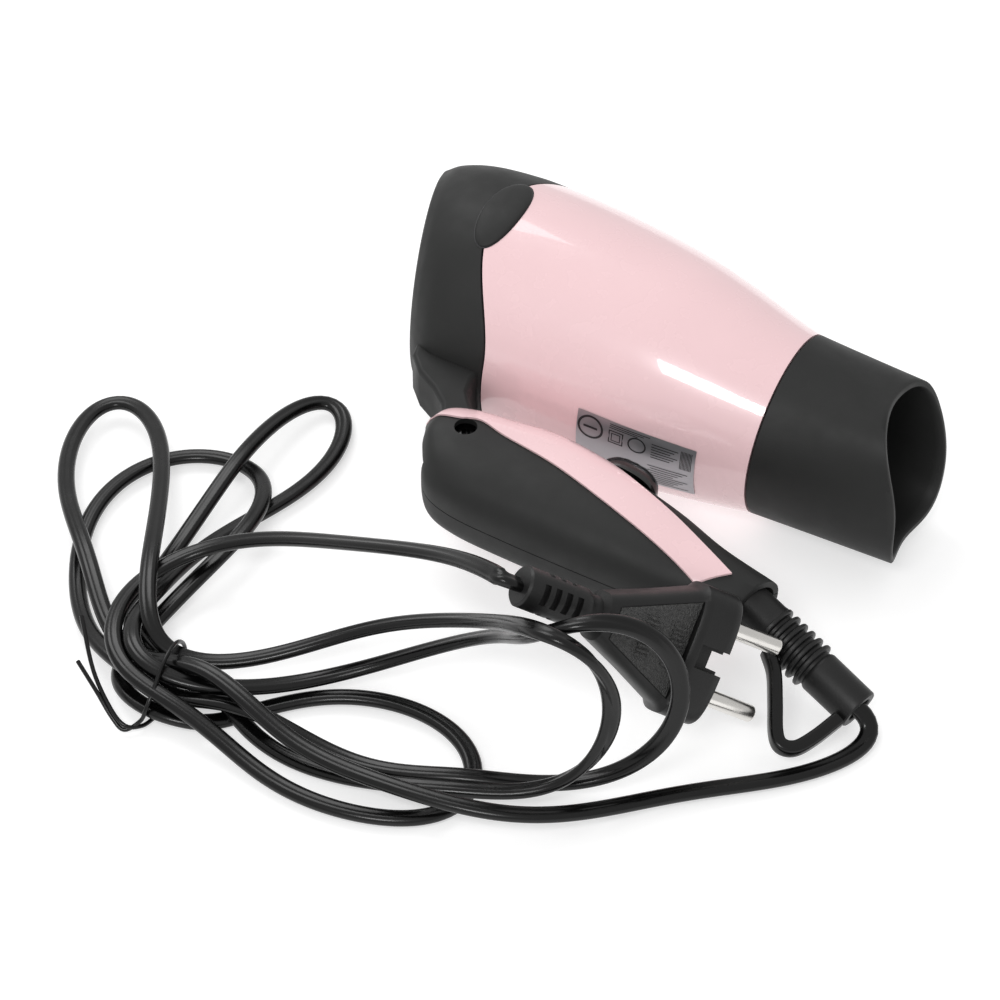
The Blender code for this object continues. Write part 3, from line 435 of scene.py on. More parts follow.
def screen_mesh():
    mat = principled("wire_screen", (0.22, 0.22, 0.22), 0.35, Metallic=1.0)
    weave = node(mat, "ShaderNodeTexBrick", Scale=420.0)
    link(mat, object_point(mat), weave.inputs["Vector"])
    bumped(mat, weave.outputs["Fac"], 0.2)
    tinted(mat, weave.outputs["Fac"], (0.16, 0.16, 0.16), (0.02, 0.02, 0.02))
    return mat


# ---------------------------------------------------------------- shapes


def smooth_rows(rows, parts):
    """A smooth curve through rows of numbers, `parts` steps between each two."""
    rows = [np.array(row, float) for row in rows]
    padded = [2 * rows[0] - rows[1], *rows, 2 * rows[-1] - rows[-2]]
    made = []
    for a, b, c, d in zip(padded, padded[1:], padded[2:], padded[3:]):
        for t in np.arange(parts) / parts:
            square, cube = 2 * a - 5 * b + 4 * c - d, 3 * b - a - 3 * c + d
            made.append(0.5 * (2 * b + (c - a) * t + square * t**2 + cube * t**3))
    return made + [rows[-1]]


def superellipse(half_a, half_b, power, angle):
    c, s = math.cos(angle), math.sin(angle)
    scale = (abs(c) ** power + abs(s) ** power) ** (-1 / power)
    return half_a * c * scale, half_b * s * scale


def turns(count):
    return [2 * math.pi * i / count for i in range(count)]


def finish_mesh(name, bm, mat, body, nodes=(), sharp=40):
    bmesh.ops.recalc_face_normals(bm, faces=bm.faces[:])
    mesh = bpy.data.meshes.new(name)
    bm.to_mesh(mesh)
    bm.free()
    obj = bpy.data.objects.new(name, mesh)
    bpy.context.scene.collection.objects.link(obj)
    return settle_piece(obj, mat, body, nodes, sharp)


def settle_piece(obj, mat, body, nodes=(), sharp=40):
    if mat and not obj.data.materials:
        obj.data.materials.append(mat)
    if obj.type == "MESH":
        obj.data.shade_smooth()
        obj.data.set_sharp_from_angle(angle=math.radians(sharp))
    if body:
        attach(obj, body)
    if nodes:
        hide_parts(*nodes)
    return obj


def skin(rings, round_way=True, looped=False, capped=False):
    """A mesh through rings of points in metres; round_way closes each ring, looped joins last to first."""
    bm = bmesh.new()
    rows = [[bm.verts.new(point) for point in ring] for ring in rings]
    pairs = list(zip(rows, rows[1:])) + ([(rows[-1], rows[0])] if looped else [])
    for first, second in pairs:
        count = len(first)
        for i in range(count if round_way else count - 1):
            j = (i + 1) % count
            bm.faces.new((first[i], first[j], second[j], second[i]))
    if capped:
        bm.faces.new(rows[0])
        bm.faces.new(rows[-1][::-1])
    return bm


def boxed(low, high, place):
    """A closed box between two corners, each corner set by place(x, y, z)."""
    (x0, y0, z0), (x1, y1, z1) = low, high
    corners = [(x0, y0), (x1, y0), (x1, y1), (x0, y1)]
    return skin([[place(x, y, z) for x, y in corners] for z in (z0, z1)], capped=True)


def cylinder(middle, place, radius, low, high, sides=32):
    x0, y0 = middle
    circle = [(x0 + radius * math.cos(a), y0 + radius * math.sin(a)) for a in turns(sides)]
    return skin([[place(x, y, z) for x, y in circle] for z in (low, high)], capped=True)


def cut(obj, bm, operation="DIFFERENCE"):
    """One exact Boolean with a throwaway mesh."""
    bmesh.ops.recalc_face_normals(bm, faces=bm.faces[:])
    mesh = bpy.data.meshes.new("cutter")
    bm.to_mesh(mesh)
    bm.free()
    cutter = bpy.data.objects.new("cutter", mesh)
    bpy.context.scene.collection.objects.link(cutter)
    change = obj.modifiers.new("cut", "BOOLEAN")
    change.operation, change.solver, change.object = operation, "EXACT", cutter
    bpy.context.view_layer.update()
    result = bpy.data.meshes.new_from_object(obj.evaluated_get(bpy.context.evaluated_depsgraph_get()))
    obj.modifiers.clear()
    obj.data = result
    bpy.data.objects.remove(cutter)


def softened(obj, width, segments=2):
    edge = obj.modifiers.new("edges", "BEVEL")
    edge.width, edge.segments = width * MM, segments
    edge.limit_method, edge.angle_limit = "ANGLE", math.radians(40)
    return obj


def turned(name, profile, place, mat, body, nodes=(), sides=64, sharp=35):
    """A closed (radius, height) profile turned about an axis; place(x, y, z) sets each point."""
    rings = [[place(r * math.cos(a), r * math.sin(a), z) for r, z in profile] for a in turns(sides)]
    bm = skin(rings, looped=True)
    bmesh.ops.remove_doubles(bm, verts=bm.verts[:], dist=0.002 * MM)
    return finish_mesh(name, bm, mat, body, nodes, sharp)


# ---------------------------------------------------------------- barrel

PROFILE = np.array(smooth_rows(BARREL, 8))


def barrel_at(u, turn, grow=0.0):
    """A point of the barrel's skin; turn is in degrees from w towards v."""
    centre, radius = (np.interp(u, PROFILE[:, 0], PROFILE[:, k]) for k in (1, 2))
    angle = math.radians(turn)
    dv, dw = (radius + grow) * math.sin(angle), (radius + grow) * math.cos(angle)
    return u, centre + dv, dw


def seam_u(turn):
    """Where the hood meets the pink shell: furthest back on the sides, further forward above and below."""
    side = abs((turn + 90) % 180 - 90)
    share = math.sin(math.radians(min(90, 1.233 * side))) ** 2.5
    return SEAM_SIDE + SEAM_STEP * share


def degrees_round(count=144):
    return [360 * i / count for i in range(count)]


def barrel_shell(mat):
    around = degrees_round()
    steps = np.linspace(0, 1, 44)
    outer = [[at(*barrel_at(seam_u(t) * (1 - s), t)) for t in around] for s in steps]
    outer.insert(0, [at(*barrel_at(seam_u(t) + 0.05, t, -0.5)) for t in around])
    inner = [[at(*barrel_at(seam_u(t) * (1 - s), t, -SHELL_WALL)) for t in around] for s in steps[::-6]]
    bm = skin(outer + inner, looped=True)
    halves = ("barrel_shell_left", "barrel_shell_right")
    finish_mesh("barrel_shell", bm, mat, "barrel", halves, 30)


def hood_rear(share, turn, grow=0.0):
    """The hood's skin from its seam (share 0) to the slanting rear rim (share 1)."""
    start, end = seam_u(turn) - SEAM_GAP, BARREL[0][0]
    u = start + (end - start) * share
    _, v, w = barrel_at(u, turn, grow)
    lean = max(0.0, (-97 - u) / 20)
    return u - REAR_SLANT * lean * (v - BARREL[0][1]), v, w


def hood(mat):
    around = degrees_round()
    rings = [[at(*hood_rear(0, t, -deep)) for t in around] for deep in (SHELL_WALL, SEAM_LIP)]
    rings += [[at(*hood_rear(s, t)) for t in around] for s in np.linspace(0.012, 1, 34)]
    rim_u, rim_v, rim_r = BARREL[0]
    rim = [
        (-0.5, rim_r - 0.9), (-0.3, rim_r - 1.9), (0.4, REAR_HOLE + 0.2), (2.6, REAR_HOLE),
        (2.6, REAR_HOLE + 2),
    ]
    for depth, radius in rim:
        ring = []
        for t in around:
            dv, dw = radius * math.sin(math.radians(t)), radius * math.cos(math.radians(t))
            ring.append(at(rim_u + depth - REAR_SLANT * dv, rim_v + dv, dw))
        rings.append(ring)
    rings.append([at(*hood_rear(0.6, t, -SHELL_WALL)) for t in around])
    bm = skin(rings, looped=True)
    finish_mesh("rear_hood_cover", bm, mat, "barrel", ("rear_hood",), 50)


def lug(mat):
    """The neck under the hood and the round eye that the handle folds on."""
    u, v = PIVOT
    angles = [math.pi * (0.5 - 1.5 * i / 36) for i in range(37)]
    eye = [(u + LUG_RADIUS * math.cos(a), v + LUG_RADIUS * math.sin(a)) for a in angles]
    rear = [
        (u - LUG_RADIUS - 0.6, -50), (u - LUG_RADIUS - 3, -46), (-91, -42), (-97.5, -38.5),
        (-102.5, -33.5),
    ]
    outline = LUG_NECK + eye + rear
    rings = [[at(a, b, w) for a, b in outline] for w in (-LUG_HALF, LUG_HALF)]
    obj = finish_mesh("hinge_lug", skin(rings, capped=True), mat, None)
    cut(obj, cylinder(PIVOT, at, LUG_HOLE, -20, 20))
    softened(obj, 1.4, 4)
    settle_piece(obj, mat, "barrel", ())


def oval_rings(side, steps):
    """Rings over the barrel's skin, one for each (share of the oval's size, rise) of the steps."""
    rings = []
    for share, rise in steps:
        ring = []
        for a in turns(64):
            u = OVAL_AT[0] + OVAL_HALF[0] * share * math.cos(a)
            turn = OVAL_AT[1] + OVAL_HALF[1] * share * math.sin(a)
            pu, pv, pw = barrel_at(u, turn, rise)
            ring.append(at(pu, pv, side * pw))
        rings.append(ring)
    return rings


def oval(side, mat):
    bm = skin(oval_rings(side, OVAL_DOME), capped=True)
    nodes = (f"oval_inlay_{hand(side)}",)
    finish_mesh(f"oval_cap_{hand(side)}", bm, mat, "barrel", nodes, 50)


def oval_groove(side, mat):
    """A thin dark line round the oval."""
    bm = skin(oval_rings(side, OVAL_LINE))
    finish_mesh(f"oval_line_{hand(side)}", bm, mat, "barrel", (), 50)


def on_label(s, t, rise):
    """A point over the label: s along it and t round it, both 0 to 1."""
    u = LABEL_U[0] + (LABEL_U[1] - LABEL_U[0]) * s
    turn = LABEL_TURNS[1] + (LABEL_TURNS[0] - LABEL_TURNS[1]) * t
    return at(*barrel_at(u, turn, rise))


def label_block(bm, s0, s1, t0, t1):
    """A printed rectangle."""
    along = np.linspace(s0, s1, max(2, int((s1 - s0) * LABEL_CELLS[0])))
    across = np.linspace(t0, t1, max(2, int((t1 - t0) * LABEL_CELLS[1])))
    rows = [[bm.verts.new(on_label(s, t, PRINT_RISE)) for t in across] for s in along]
    for a, b in zip(rows, rows[1:]):
        for i in range(len(a) - 1):
            bm.faces.new((a[i], a[i + 1], b[i + 1], b[i]))


def label_ring(bm, s, t, radius, thick, sides=40):
    """A round or, with few sides, angular outline."""
    wide, tall = 1 / (LABEL_U[1] - LABEL_U[0]), 1 / LABEL_ROUND
    loops = []
    for r in (radius, radius - thick):
        loops.append([
            bm.verts.new(on_label(s + r * math.cos(a) * wide, t + r * math.sin(a) * tall, PRINT_RISE))
            for a in (q + math.pi / 4 for q in turns(sides))
        ])
    for i in range(sides):
        j = (i + 1) % sides
        bm.faces.new((loops[0][i], loops[0][j], loops[1][j], loops[1][i]))


def label_symbols(bm):
    """A barred circle, a square in a square, and a plain circle."""
    label_ring(bm, 0.12, 0.22, 4.0, 0.7)
    label_block(bm, 0.06, 0.18, 0.2, 0.235)
    label_ring(bm, 0.34, 0.24, 3.2, 0.5, 4)
    label_ring(bm, 0.34, 0.24, 2.0, 0.4, 4)
    label_ring(bm, 0.52, 0.24, 2.8, 0.5)


def label_lines(bm):
    """Two short blocks of text, a bar code and a long block of text, as plain bars."""
    for row in range(3):
        top = 0.04 + 0.028 * row
        label_block(bm, 0.28, 0.62 - 0.05 * row, top, 0.052 + 0.028 * row)
    for row in range(6):
        top = 0.12 + 0.045 * row
        label_block(bm, 0.64, 0.86 - 0.03 * (row % 3), top, 0.135 + 0.045 * row)
    for bar in range(9):
        label_block(bm, 0.88 + 0.011 * bar, 0.886 + 0.011 * bar, 0.08, 0.42)
    for row in range(9):
        start, end = 0.62 + 0.02 * (row % 2), 0.95 - 0.04 * (row % 4)
        label_block(bm, start, end, 0.52 + 0.05 * row, 0.533 + 0.05 * row)


def rating_label(foil, ink):
    along, across = np.linspace(0, 1, 40), np.linspace(0, 1, 25)
    bm = skin([[on_label(s, t, FOIL_RISE) for t in across] for s in along], round_way=False)
    finish_mesh("rating_label_foil", bm, foil, "barrel", ("rating_label",))
    bm = bmesh.new()
    label_symbols(bm)
    label_lines(bm)
    finish_mesh("rating_label_print", bm, ink, "barrel", ())


def grille_ring(place, radius, thick):
    """One ring of a grille, 1 mm wide."""
    section = ((-0.5, 0.2), (0.5, 0.2), (0.5, thick), (-0.5, thick))
    rings = []
    for a in turns(72):
        c, s = math.cos(a), math.sin(a)
        rings.append([place((radius + x) * c, (radius + x) * s, z) for x, z in section])
    return skin(rings, looped=True)


def grille(name, nodes, place, radius, rings, thick, mat, bars, hub=3.4):
    """A closely ringed grille with radial bars, drawn in x, y across it and z through it."""
    inside = radius - 1.6
    frame_ring = [
        (inside, 0), (radius, 0), (radius, thick), (radius - 0.5, thick + 0.4), (inside, thick),
    ]
    obj = turned(name, frame_ring, place, mat, None, sides=96)
    bm = bmesh.new()
    bm.from_mesh(obj.data)
    for r in rings:
        merge(bm, grille_ring(place, r, thick))
    merge(bm, cylinder((0, 0), place, hub, 0.1, thick + 0.3, 36))
    start, end = (hub - 0.5, -0.55, 0.3), (radius - 0.8, 0.55, thick - 0.1)
    for i in range(bars):
        angle = 2 * math.pi * i / bars + 0.1
        merge(bm, boxed(start, end, shifted(place, 0, 0, angle)))
    bmesh.ops.recalc_face_normals(bm, faces=bm.faces[:])
    bm.to_mesh(obj.data)
    bm.free()
    settle_piece(obj, mat, "barrel", nodes, 35)


def merge(bm, other):
    mesh = bpy.data.meshes.new("part")
    other.to_mesh(mesh)
    other.free()
    bm.from_mesh(mesh)
    bpy.data.meshes.remove(mesh)


def at_rear(x, y, z):
    """Across and out of the slanting rear opening."""
    lean = math.atan(REAR_SLANT)
    du, dv = -z * math.cos(lean) - y * math.sin(lean), y * math.cos(lean) - z * math.sin(lean)
    return at(BARREL[0][0] + REAR_GRILLE_DEEP + du, BARREL[0][1] + dv, x)


def at_outlet(x, y, z):
    """Across and out of the front opening."""
    return at(OUTLET_AT + z, y, x)


# ---------------------------------------------------------------- nozzle


def nozzle_point(share, grow, angle):
    """A point of the nozzle's skin, from its round base (share 0) to its mouth (share 1)."""
    a, b = superellipse(NOZZLE_HALF[0] + grow, NOZZLE_HALF[1] + grow, NOZZLE_POWER, angle)
    c, s = math.cos(NOZZLE_TURN), math.sin(NOZZLE_TURN)
    v, w = a * c - b * s, a * s + b * c
    u = NOZZLE_LENGTH - NOZZLE_SADDLE * math.cos(2 * angle) + NOZZLE_SLOPE[0] * v + NOZZLE_SLOPE[1] * w
    radius = NOZZLE_BASE + grow
    turn = angle + NOZZLE_TURN
    start = (0.3, radius * math.cos(turn), radius * math.sin(turn))
    return tuple(p + (q - p) * share for p, q in zip(start, (u, v, w)))


def nozzle(mat):
    around = turns(144)
    rings = [[at(*nozzle_point(0, -0.5, a)) for a in around]]
    rings += [[at(*nozzle_point(s, 0, a)) for a in around] for s in np.linspace(0.01, 0.993, 24)]
    rings += [[at(*nozzle_point(1, -g, a)) for a in around] for g in (0.35, 0.9, 1.45)]
    rings += [[at(*nozzle_point(s, -NOZZLE_WALL, a)) for a in around] for s in np.linspace(0.985, 0.12, 14)]
    for u in (6.5, 0.3):
        ways = [a + NOZZLE_TURN for a in around]
        rings.append([at(u, NOZZLE_BORE * math.cos(a), NOZZLE_BORE * math.sin(a)) for a in ways])
    bm = skin(rings, looped=True)
    finish_mesh("nozzle_body", bm, mat, "nozzle", ("nozzle",), 50)


# ---------------------------------------------------------------- handle


def handle_half(section, side, grow, count, floor=0.17):
    """Half of a handle section, from front to back, kept `floor` off the parting plane."""
    u0, v0, u1, v1, half_w, power = section
    middle = Vector(((u0 + u1) / 2, (v0 + v1) / 2))
    reach = Vector(((u0 - u1) / 2, (v0 - v1) / 2))
    along = reach.normalized()
    points = []
    for i in range(count + 1):
        a, b = superellipse(reach.length + grow, half_w + grow, power, math.pi * i / count)
        spot = middle + along * a
        points.append(at(spot.x, spot.y, side * (b + floor)))
    return points


def handle_skin(side, outer, inner, count=40):
    """Half of the handle, between two skins, with a rounded knuckle and a small lip at its ends."""
    rows = smooth_rows(HANDLE, 6)
    first, last = rows[0], rows[-1]
    knob = first.copy()
    middle = np.tile((first[:2] + first[2:4]) / 2, 2)
    knob[:4] += (middle - first[:4]) * KNOB_NARROWS + np.array([-KNOB_REACH, 0, -KNOB_REACH, 0])
    knob[4] *= KNOB_THINS
    rows = [knob] + rows
    lip = last.copy()
    lip[[0, 2]] += 0.5
    lip[4] *= 0.95
    rows.append(lip)
    rings = [handle_half(r, side, outer, count) + handle_half(r, side, inner, count)[::-1] for r in rows]
    return skin(rings, capped=True)


def handle_shell(side, mat):
    skinned = handle_skin(side, 0, -HANDLE_WALL)
    obj = finish_mesh(f"handle_cover_{hand(side)}", skinned, mat, None)
    cut(obj, boxed((*SLOT_LOW, -SLOT_HALF), (*SLOT_HIGH, SLOT_HALF), at))
    cut(obj, boxed((-9, -6, -2.3), (9, 4, 2.3), shifted(at, *SWITCH_AT, SWITCH_TURN)))
    if side > 0:
        cut(obj, cylinder(PIVOT, at, SCREW_RECESS, 8, 20))
    settle_piece(obj, mat, "handle", (f"handle_shell_{hand(side)}",), 35)


def smooth_outline(points, corners, parts=6):
    """A closed outline, smooth but for its corners."""
    starts = list(corners) + [corners[0] + len(points)]
    made = []
    for a, b in zip(starts, starts[1:]):
        run = [points[k % len(points)] for k in range(a, b + 1)]
        made += [tuple(p) for p in smooth_rows(run, parts)[:-1]]
    return made


def stripe(side, mat):
    obj = finish_mesh(f"stripe_{hand(side)}", handle_skin(side, 0.75, 0.1, 64), mat, None)
    outline = smooth_outline(STRIPE, STRIPE_CORNERS)
    low, high = sorted((side * 2.5, side * 22))
    block = skin([[at(u, v, w) for u, v in outline] for w in (low, high)], capped=True)
    cut(obj, block, "INTERSECT")
    if side > 0:
        cut(obj, cylinder(PIVOT, at, SCREW_RECESS, 8, 24))
    softened(obj, 0.3, 3)
    settle_piece(obj, mat, "handle", (f"stripe_inlay_{hand(side)}",), 30)


def hinge_screw(mat):
    place = shifted(at, *PIVOT)
    nodes = ("hinge_screw",)
    turned("hinge_screw_head", HINGE_SCREW[::-1], place, mat, "handle", nodes, 36)


def switch(mat):
    """The slider: a domed thumb piece with three shallow grip ridges."""
    place = shifted(at, *SWITCH_AT, SWITCH_TURN)
    rings = []
    for height, share in SWITCH_DOME:
        ring = []
        for a in turns(56):
            x, z = superellipse(SWITCH_HALF[0] * share, SWITCH_HALF[1] * share, 2.6, a)
            ridge = 0.12 * math.cos(x * math.pi / 1.5) if height > 4 and abs(x) < 4.6 else 0
            ring.append(place(x, height + ridge * share, z))
        rings.append(ring)
    bm, nodes = skin(rings, capped=True), ("switch_slider",)
    finish_mesh("switch_thumb_piece", bm, mat, "switch_button", nodes, 50)


def grip_screws(mat):
    """The two screws inside the handle, with their heads towards its right side."""
    for i, spot in enumerate(GRIP_SCREWS_AT, 1):
        nodes = (f"handle_screw_{i}",)
        place = shifted(at, *spot)
        turned(f"grip_screw_{i}", GRIP_SCREW, place, mat, "handle", nodes, 24)


# ---------------------------------------------------------------- cord exit and plug


def exit_axes():
    start, end = Vector(BOOT_START), Vector(BOOT_END)
    axis = (end - start).normalized()
    across = axis.cross(Vector((0, 0, 1))).normalized()
    return start, axis, across, axis.cross(across)


def at_exit(x, y, z):
    start, axis, across, third = exit_axes()
    spot = start + across * x + third * y + axis * z
    return at(*spot)


def boot(mat):
    """The ribbed strain relief, hollow at its tail where the cord comes out."""
    tail = BOOT_LENGTH
    points = [
        (0, 33), (3.8, 33), (3.8, tail - 0.3), (4.1, tail), (5.7, tail), (6.0, tail - 0.4),
        (6.1, FIRST_RIB + 1.2), (5.9, FIRST_RIB + 0.5),
    ]
    for i in range(BOOT_RIBS):
        points += [(radius, FIRST_RIB - BOOT_PITCH * i + step) for radius, step in BOOT_RIB]
    points += [(BOOT_RADIUS, FIRST_RIB - BOOT_PITCH * BOOT_RIBS - 0.8), (BOOT_RADIUS, -2.6), (0, -2.6)]
    nodes = ("strain_relief_boot",)
    turned("cord_boot", points, at_exit, mat, "handle", nodes, 56, 30)


def hang_loop(mat):
    """A strap, nearly square in section, from the boot's ribs round to its tail."""
    line = np.array(smooth_rows(HANG_LOOP, 8))
    ways = np.gradient(line, axis=0)
    ways /= np.linalg.norm(ways, axis=1)[:, None]
    rings = []
    for (along, away), (d_along, d_away) in zip(line, ways):
        ring = []
        for a in turns(24):
            t, y = superellipse(1.9, 2.1, 4.5, a)
            ring.append(at_exit(away + t * d_along, y, along - t * d_away))
        rings.append(ring)
    bm = skin(rings, capped=True)
    finish_mesh("hang_loop_strap", bm, mat, "handle", ("hang_loop",), 50)


def plug_axes():
    pins, line = Vector(PINS_POINT).normalized(), Vector(PIN_LINE).normalized()
    line = (line - pins * line.dot(pins)).normalized()
    return Vector(PLUG_AT), line, pins.cross(line), pins


def at_plug(x, y, z):
    middle, line, face, pins = plug_axes()
    return (middle + line * x + face * y + pins * z) * MM


def plug_block(half_near, half_far, near, far, low, high):
    """A block across the plug that tapers along it, between two heights."""
    outline = [(-half_near, near), (half_near, near), (half_far, far), (-half_far, far)]
    return skin([[at_plug(x, y, z) for x, z in outline] for y in (low, high)], capped=True)


def plug_rows():
    """The plug's sections, with more of them between each two of PLUG."""
    rows = []
    for a, b in zip(PLUG, PLUG[1:]):
        parts = max(1, int(abs(b[0] - a[0]) / 1.5))
        rows += [np.array(a) + (np.array(b) - np.array(a)) * k / parts for k in range(parts)]
    return rows + [np.array(PLUG[-1], float)]


def plug_face_cuts(obj):
    """The clefts between the pins, in the face that goes to the wall."""
    cut(obj, boxed((-2.4, -12, -3.5), (2.4, 12, 2), at_plug))
    for low, high in ((5.2, 12), (-12, -5.2)):
        cut(obj, boxed((-3.2, low, -9), (3.2, high, 2), at_plug))


def plug_side_cuts(obj):
    """The beds of the grip panels, and the slots round the tail on all four sides."""
    for side in (1, -1):
        low, high = sorted((side * 6.0, side * 12))
        cut(obj, plug_block(13.6, 4.6, -11.8, -34.5, low, high))
        low, high = sorted((side * 3.8, side * 12))
        for i in range(4):
            z = -46.5 - 3.4 * i
            cut(obj, boxed((-2.8, low, z), (2.8, high, z + 1.8), at_plug))
    for side in (1, -1):
        low, high = sorted((side * 3.2, side * 9))
        for i in range(3):
            z = -48.0 - 3.4 * i
            cut(obj, boxed((low, -2.4, z), (high, 2.4, z + 1.5), at_plug))


def plug_grip(side, mat):
    """A grained panel with two rows of small ribs."""
    bm = bmesh.new()
    low, high = sorted((side * 5.4, side * 6.35))
    merge(bm, plug_block(13.3, 4.3, -12.1, -34.2, low, high))
    low, high = sorted((side * 6.3, side * 6.75))
    for i in range(9):
        x = -5.2 + 1.3 * i
        for z in (-17.5, -26.0):
            if abs(x) < 5.6 + (z + 26) * 0.2:
                merge(bm, boxed((x, low, z), (x + 0.6, high, z + 4.2), at_plug))
    name = "plug_grip_upper" if side > 0 else "plug_grip_lower"
    return finish_mesh(name, bm, mat, "handle", ())


def plug(body_mat, grip_mat):
    sections = plug_rows()
    rings = [[at_plug(*superellipse(x, y, power, a), z) for a in turns(72)] for z, x, y, power in sections]
    obj = finish_mesh("plug_housing", skin(rings, capped=True), body_mat, None)
    plug_face_cuts(obj)
    plug_side_cuts(obj)
    softened(obj, 0.3, 2)
    settle_piece(obj, body_mat, "handle", ("plug_body",), 40)
    return [obj, plug_grip(1, grip_mat), plug_grip(-1, grip_mat)]


def plug_pins(mat):
    made = []
    quarter = np.linspace(0, math.pi / 2, 8)
    tip = [(PIN_RADIUS * math.cos(q), PIN_LENGTH - 1.2 + 1.2 * math.sin(q)) for q in quarter]
    profile = [(0, 0.3), (PIN_RADIUS, 0.3)] + tip
    for i, x in enumerate((-PIN_SPACING / 2, PIN_SPACING / 2), 1):
        name, nodes = f"plug_pin_round_{i}", (f"plug_pin_{i}",)
        place = shifted(at_plug, x, 0)
        made.append(turned(name, profile, place, mat, "handle", nodes, 40))
    return made


# ---------------------------------------------------------------- free cord


def tie_crossing(across, height, way):
    """Three points that take a strand straight through the tie."""
    run, place = np.array(TIE_ALONG), np.array(TIE_AT)
    side = np.array((-run[1], run[0]))
    spots = (place + side * across + run * way * along for along in (-TIE_STRAIGHT, 0, TIE_STRAIGHT))
    return [(*spot, height) for spot in spots]


def cord_route():
    """The cord's way from inside the boot's mouth, by the tie's crossings, to the plug's tail."""
    mouth = np.array(at_exit(0, 0, BOOT_LENGTH)) / MM
    way = np.array(at_exit(0, 0, BOOT_LENGTH + 1)) / MM - mouth
    tail = np.array(at_plug(0, 0, PLUG[-1][0] - 0.4)) / MM
    tail_way = tail - np.array(at_plug(0, 0, PLUG[-1][0] + 0.6)) / MM
    points = [mouth - way * 6.5, mouth + way * 1.5] + list(RUN_FROM_BOOT)
    stretches = [LOOP_A, LOOP_B, LOOP_C, LOOP_D, LOOP_E, LOOP_F, RUN_TO_PLUG]
    for crossing, stretch in zip(TIE_CROSSINGS, stretches):
        points += tie_crossing(*crossing) + list(stretch)
    return np.array(points + [tail + tail_way * 5.6, tail], float)


def smooth_curve(points, parts=8):
    """Centripetal Catmull-Rom through the points."""
    padded = np.vstack([2 * points[0] - points[1], points, 2 * points[-1] - points[-2]])
    curve = []
    for p0, p1, p2, p3 in zip(padded, padded[1:], padded[2:], padded[3:]):
        t1 = np.linalg.norm(p1 - p0) ** 0.5
        t2 = t1 + np.linalg.norm(p2 - p1) ** 0.5
        t3 = t2 + np.linalg.norm(p3 - p2) ** 0.5
        for t in np.linspace(t1, t2, parts, endpoint=False):
            a1 = (t1 - t) / t1 * p0 + t / t1 * p1
            a2 = (t2 - t) / (t2 - t1) * p1 + (t - t1) / (t2 - t1) * p2
            a3 = (t3 - t) / (t3 - t2) * p2 + (t - t2) / (t3 - t2) * p3
            b1 = (t2 - t) / t2 * a1 + t / t2 * a2
            b2 = (t3 - t) / (t3 - t1) * a2 + (t - t1) / (t3 - t1) * a3
            curve.append((t2 - t) / (t2 - t1) * b1 + (t - t1) / (t2 - t1) * b2)
    return np.array(curve + [points[-1]])


def spread_evenly(curve, count):
    """Points at even distances along a curve."""
    reached = np.concatenate([[0], np.cumsum(np.linalg.norm(np.diff(curve, axis=0), axis=1))])
    spots = np.linspace(0, reached[-1], count)
    return np.stack([np.interp(spots, reached, curve[:, k]) for k in range(3)], axis=1)


def settle(curve, rounds=400, held=3):
    """Push strands that pass too near each other apart, keeping the cord smooth and off the floor."""
    points = curve.copy()
    tie = np.array(TIE_AT)
    order = np.arange(len(points))
    apart = np.abs(order[:, None] - order[None]) * CORD_STEP > CORD_NEIGHBOUR
    for _ in range(rounds):
        way = points[:, None] - points[None]
        gap = np.linalg.norm(way, axis=2) + 1e-9
        over = np.where(apart, np.maximum(CORD_CLEAR - gap, 0), 0)
        push = 0.35 * (way / gap[..., None] * over[..., None]).sum(axis=1)
        push /= np.sqrt(np.maximum((over > 0).sum(axis=1), 1))[:, None]
        points[held:-held] += push[held:-held]
        bend = np.zeros_like(points)
        near, wide = points[1:-3] + points[3:-1], points[:-4] + points[4:]
        bend[2:-2] = (4 * near - wide - 6 * points[2:-2]) / 16
        points[held:-held] += 0.9 * bend[held:-held]
        in_tie = np.linalg.norm(points[:, :2] - tie, axis=1) < TIE_STRAIGHT
        points[:, 2] = np.maximum(points[:, 2], np.where(in_tie, TIE_FLOOR, CORD_FLOOR))
    return points


def twin_section():
    """The flat sheath's section: one rounded oblong, with a groove along the middle of both faces."""
    ring = []
    for a in turns(28):
        x, y = superellipse(CORD_WIDTH / 2, CORD_THICK / 2, 2.3, a)
        groove = 0.3 * math.exp(-((x / 0.6) ** 2))
        ring.append((x, y - math.copysign(groove, y) if abs(y) > 0.2 else y))
    return ring


def length_of(line):
    return np.linalg.norm(np.diff(line, axis=0), axis=1).sum()


def cord_sides(ways):
    """The flat cord's sideways direction at each point: level where it can be, and turning slowly."""
    sides = np.cross(ways, (0, 0, 1))
    for i in range(1, len(sides)):
        if sides[i] @ sides[i - 1] < 0:
            sides[i] = -sides[i]
    for _ in range(500):
        sides /= np.linalg.norm(sides, axis=1)[:, None] + 1e-9
        sides[1:-1] = sides[1:-1] * 0.4 + (sides[:-2] + sides[2:]) * 0.3
    sides -= ways * (sides * ways).sum(axis=1)[:, None]
    return sides / np.linalg.norm(sides, axis=1)[:, None]


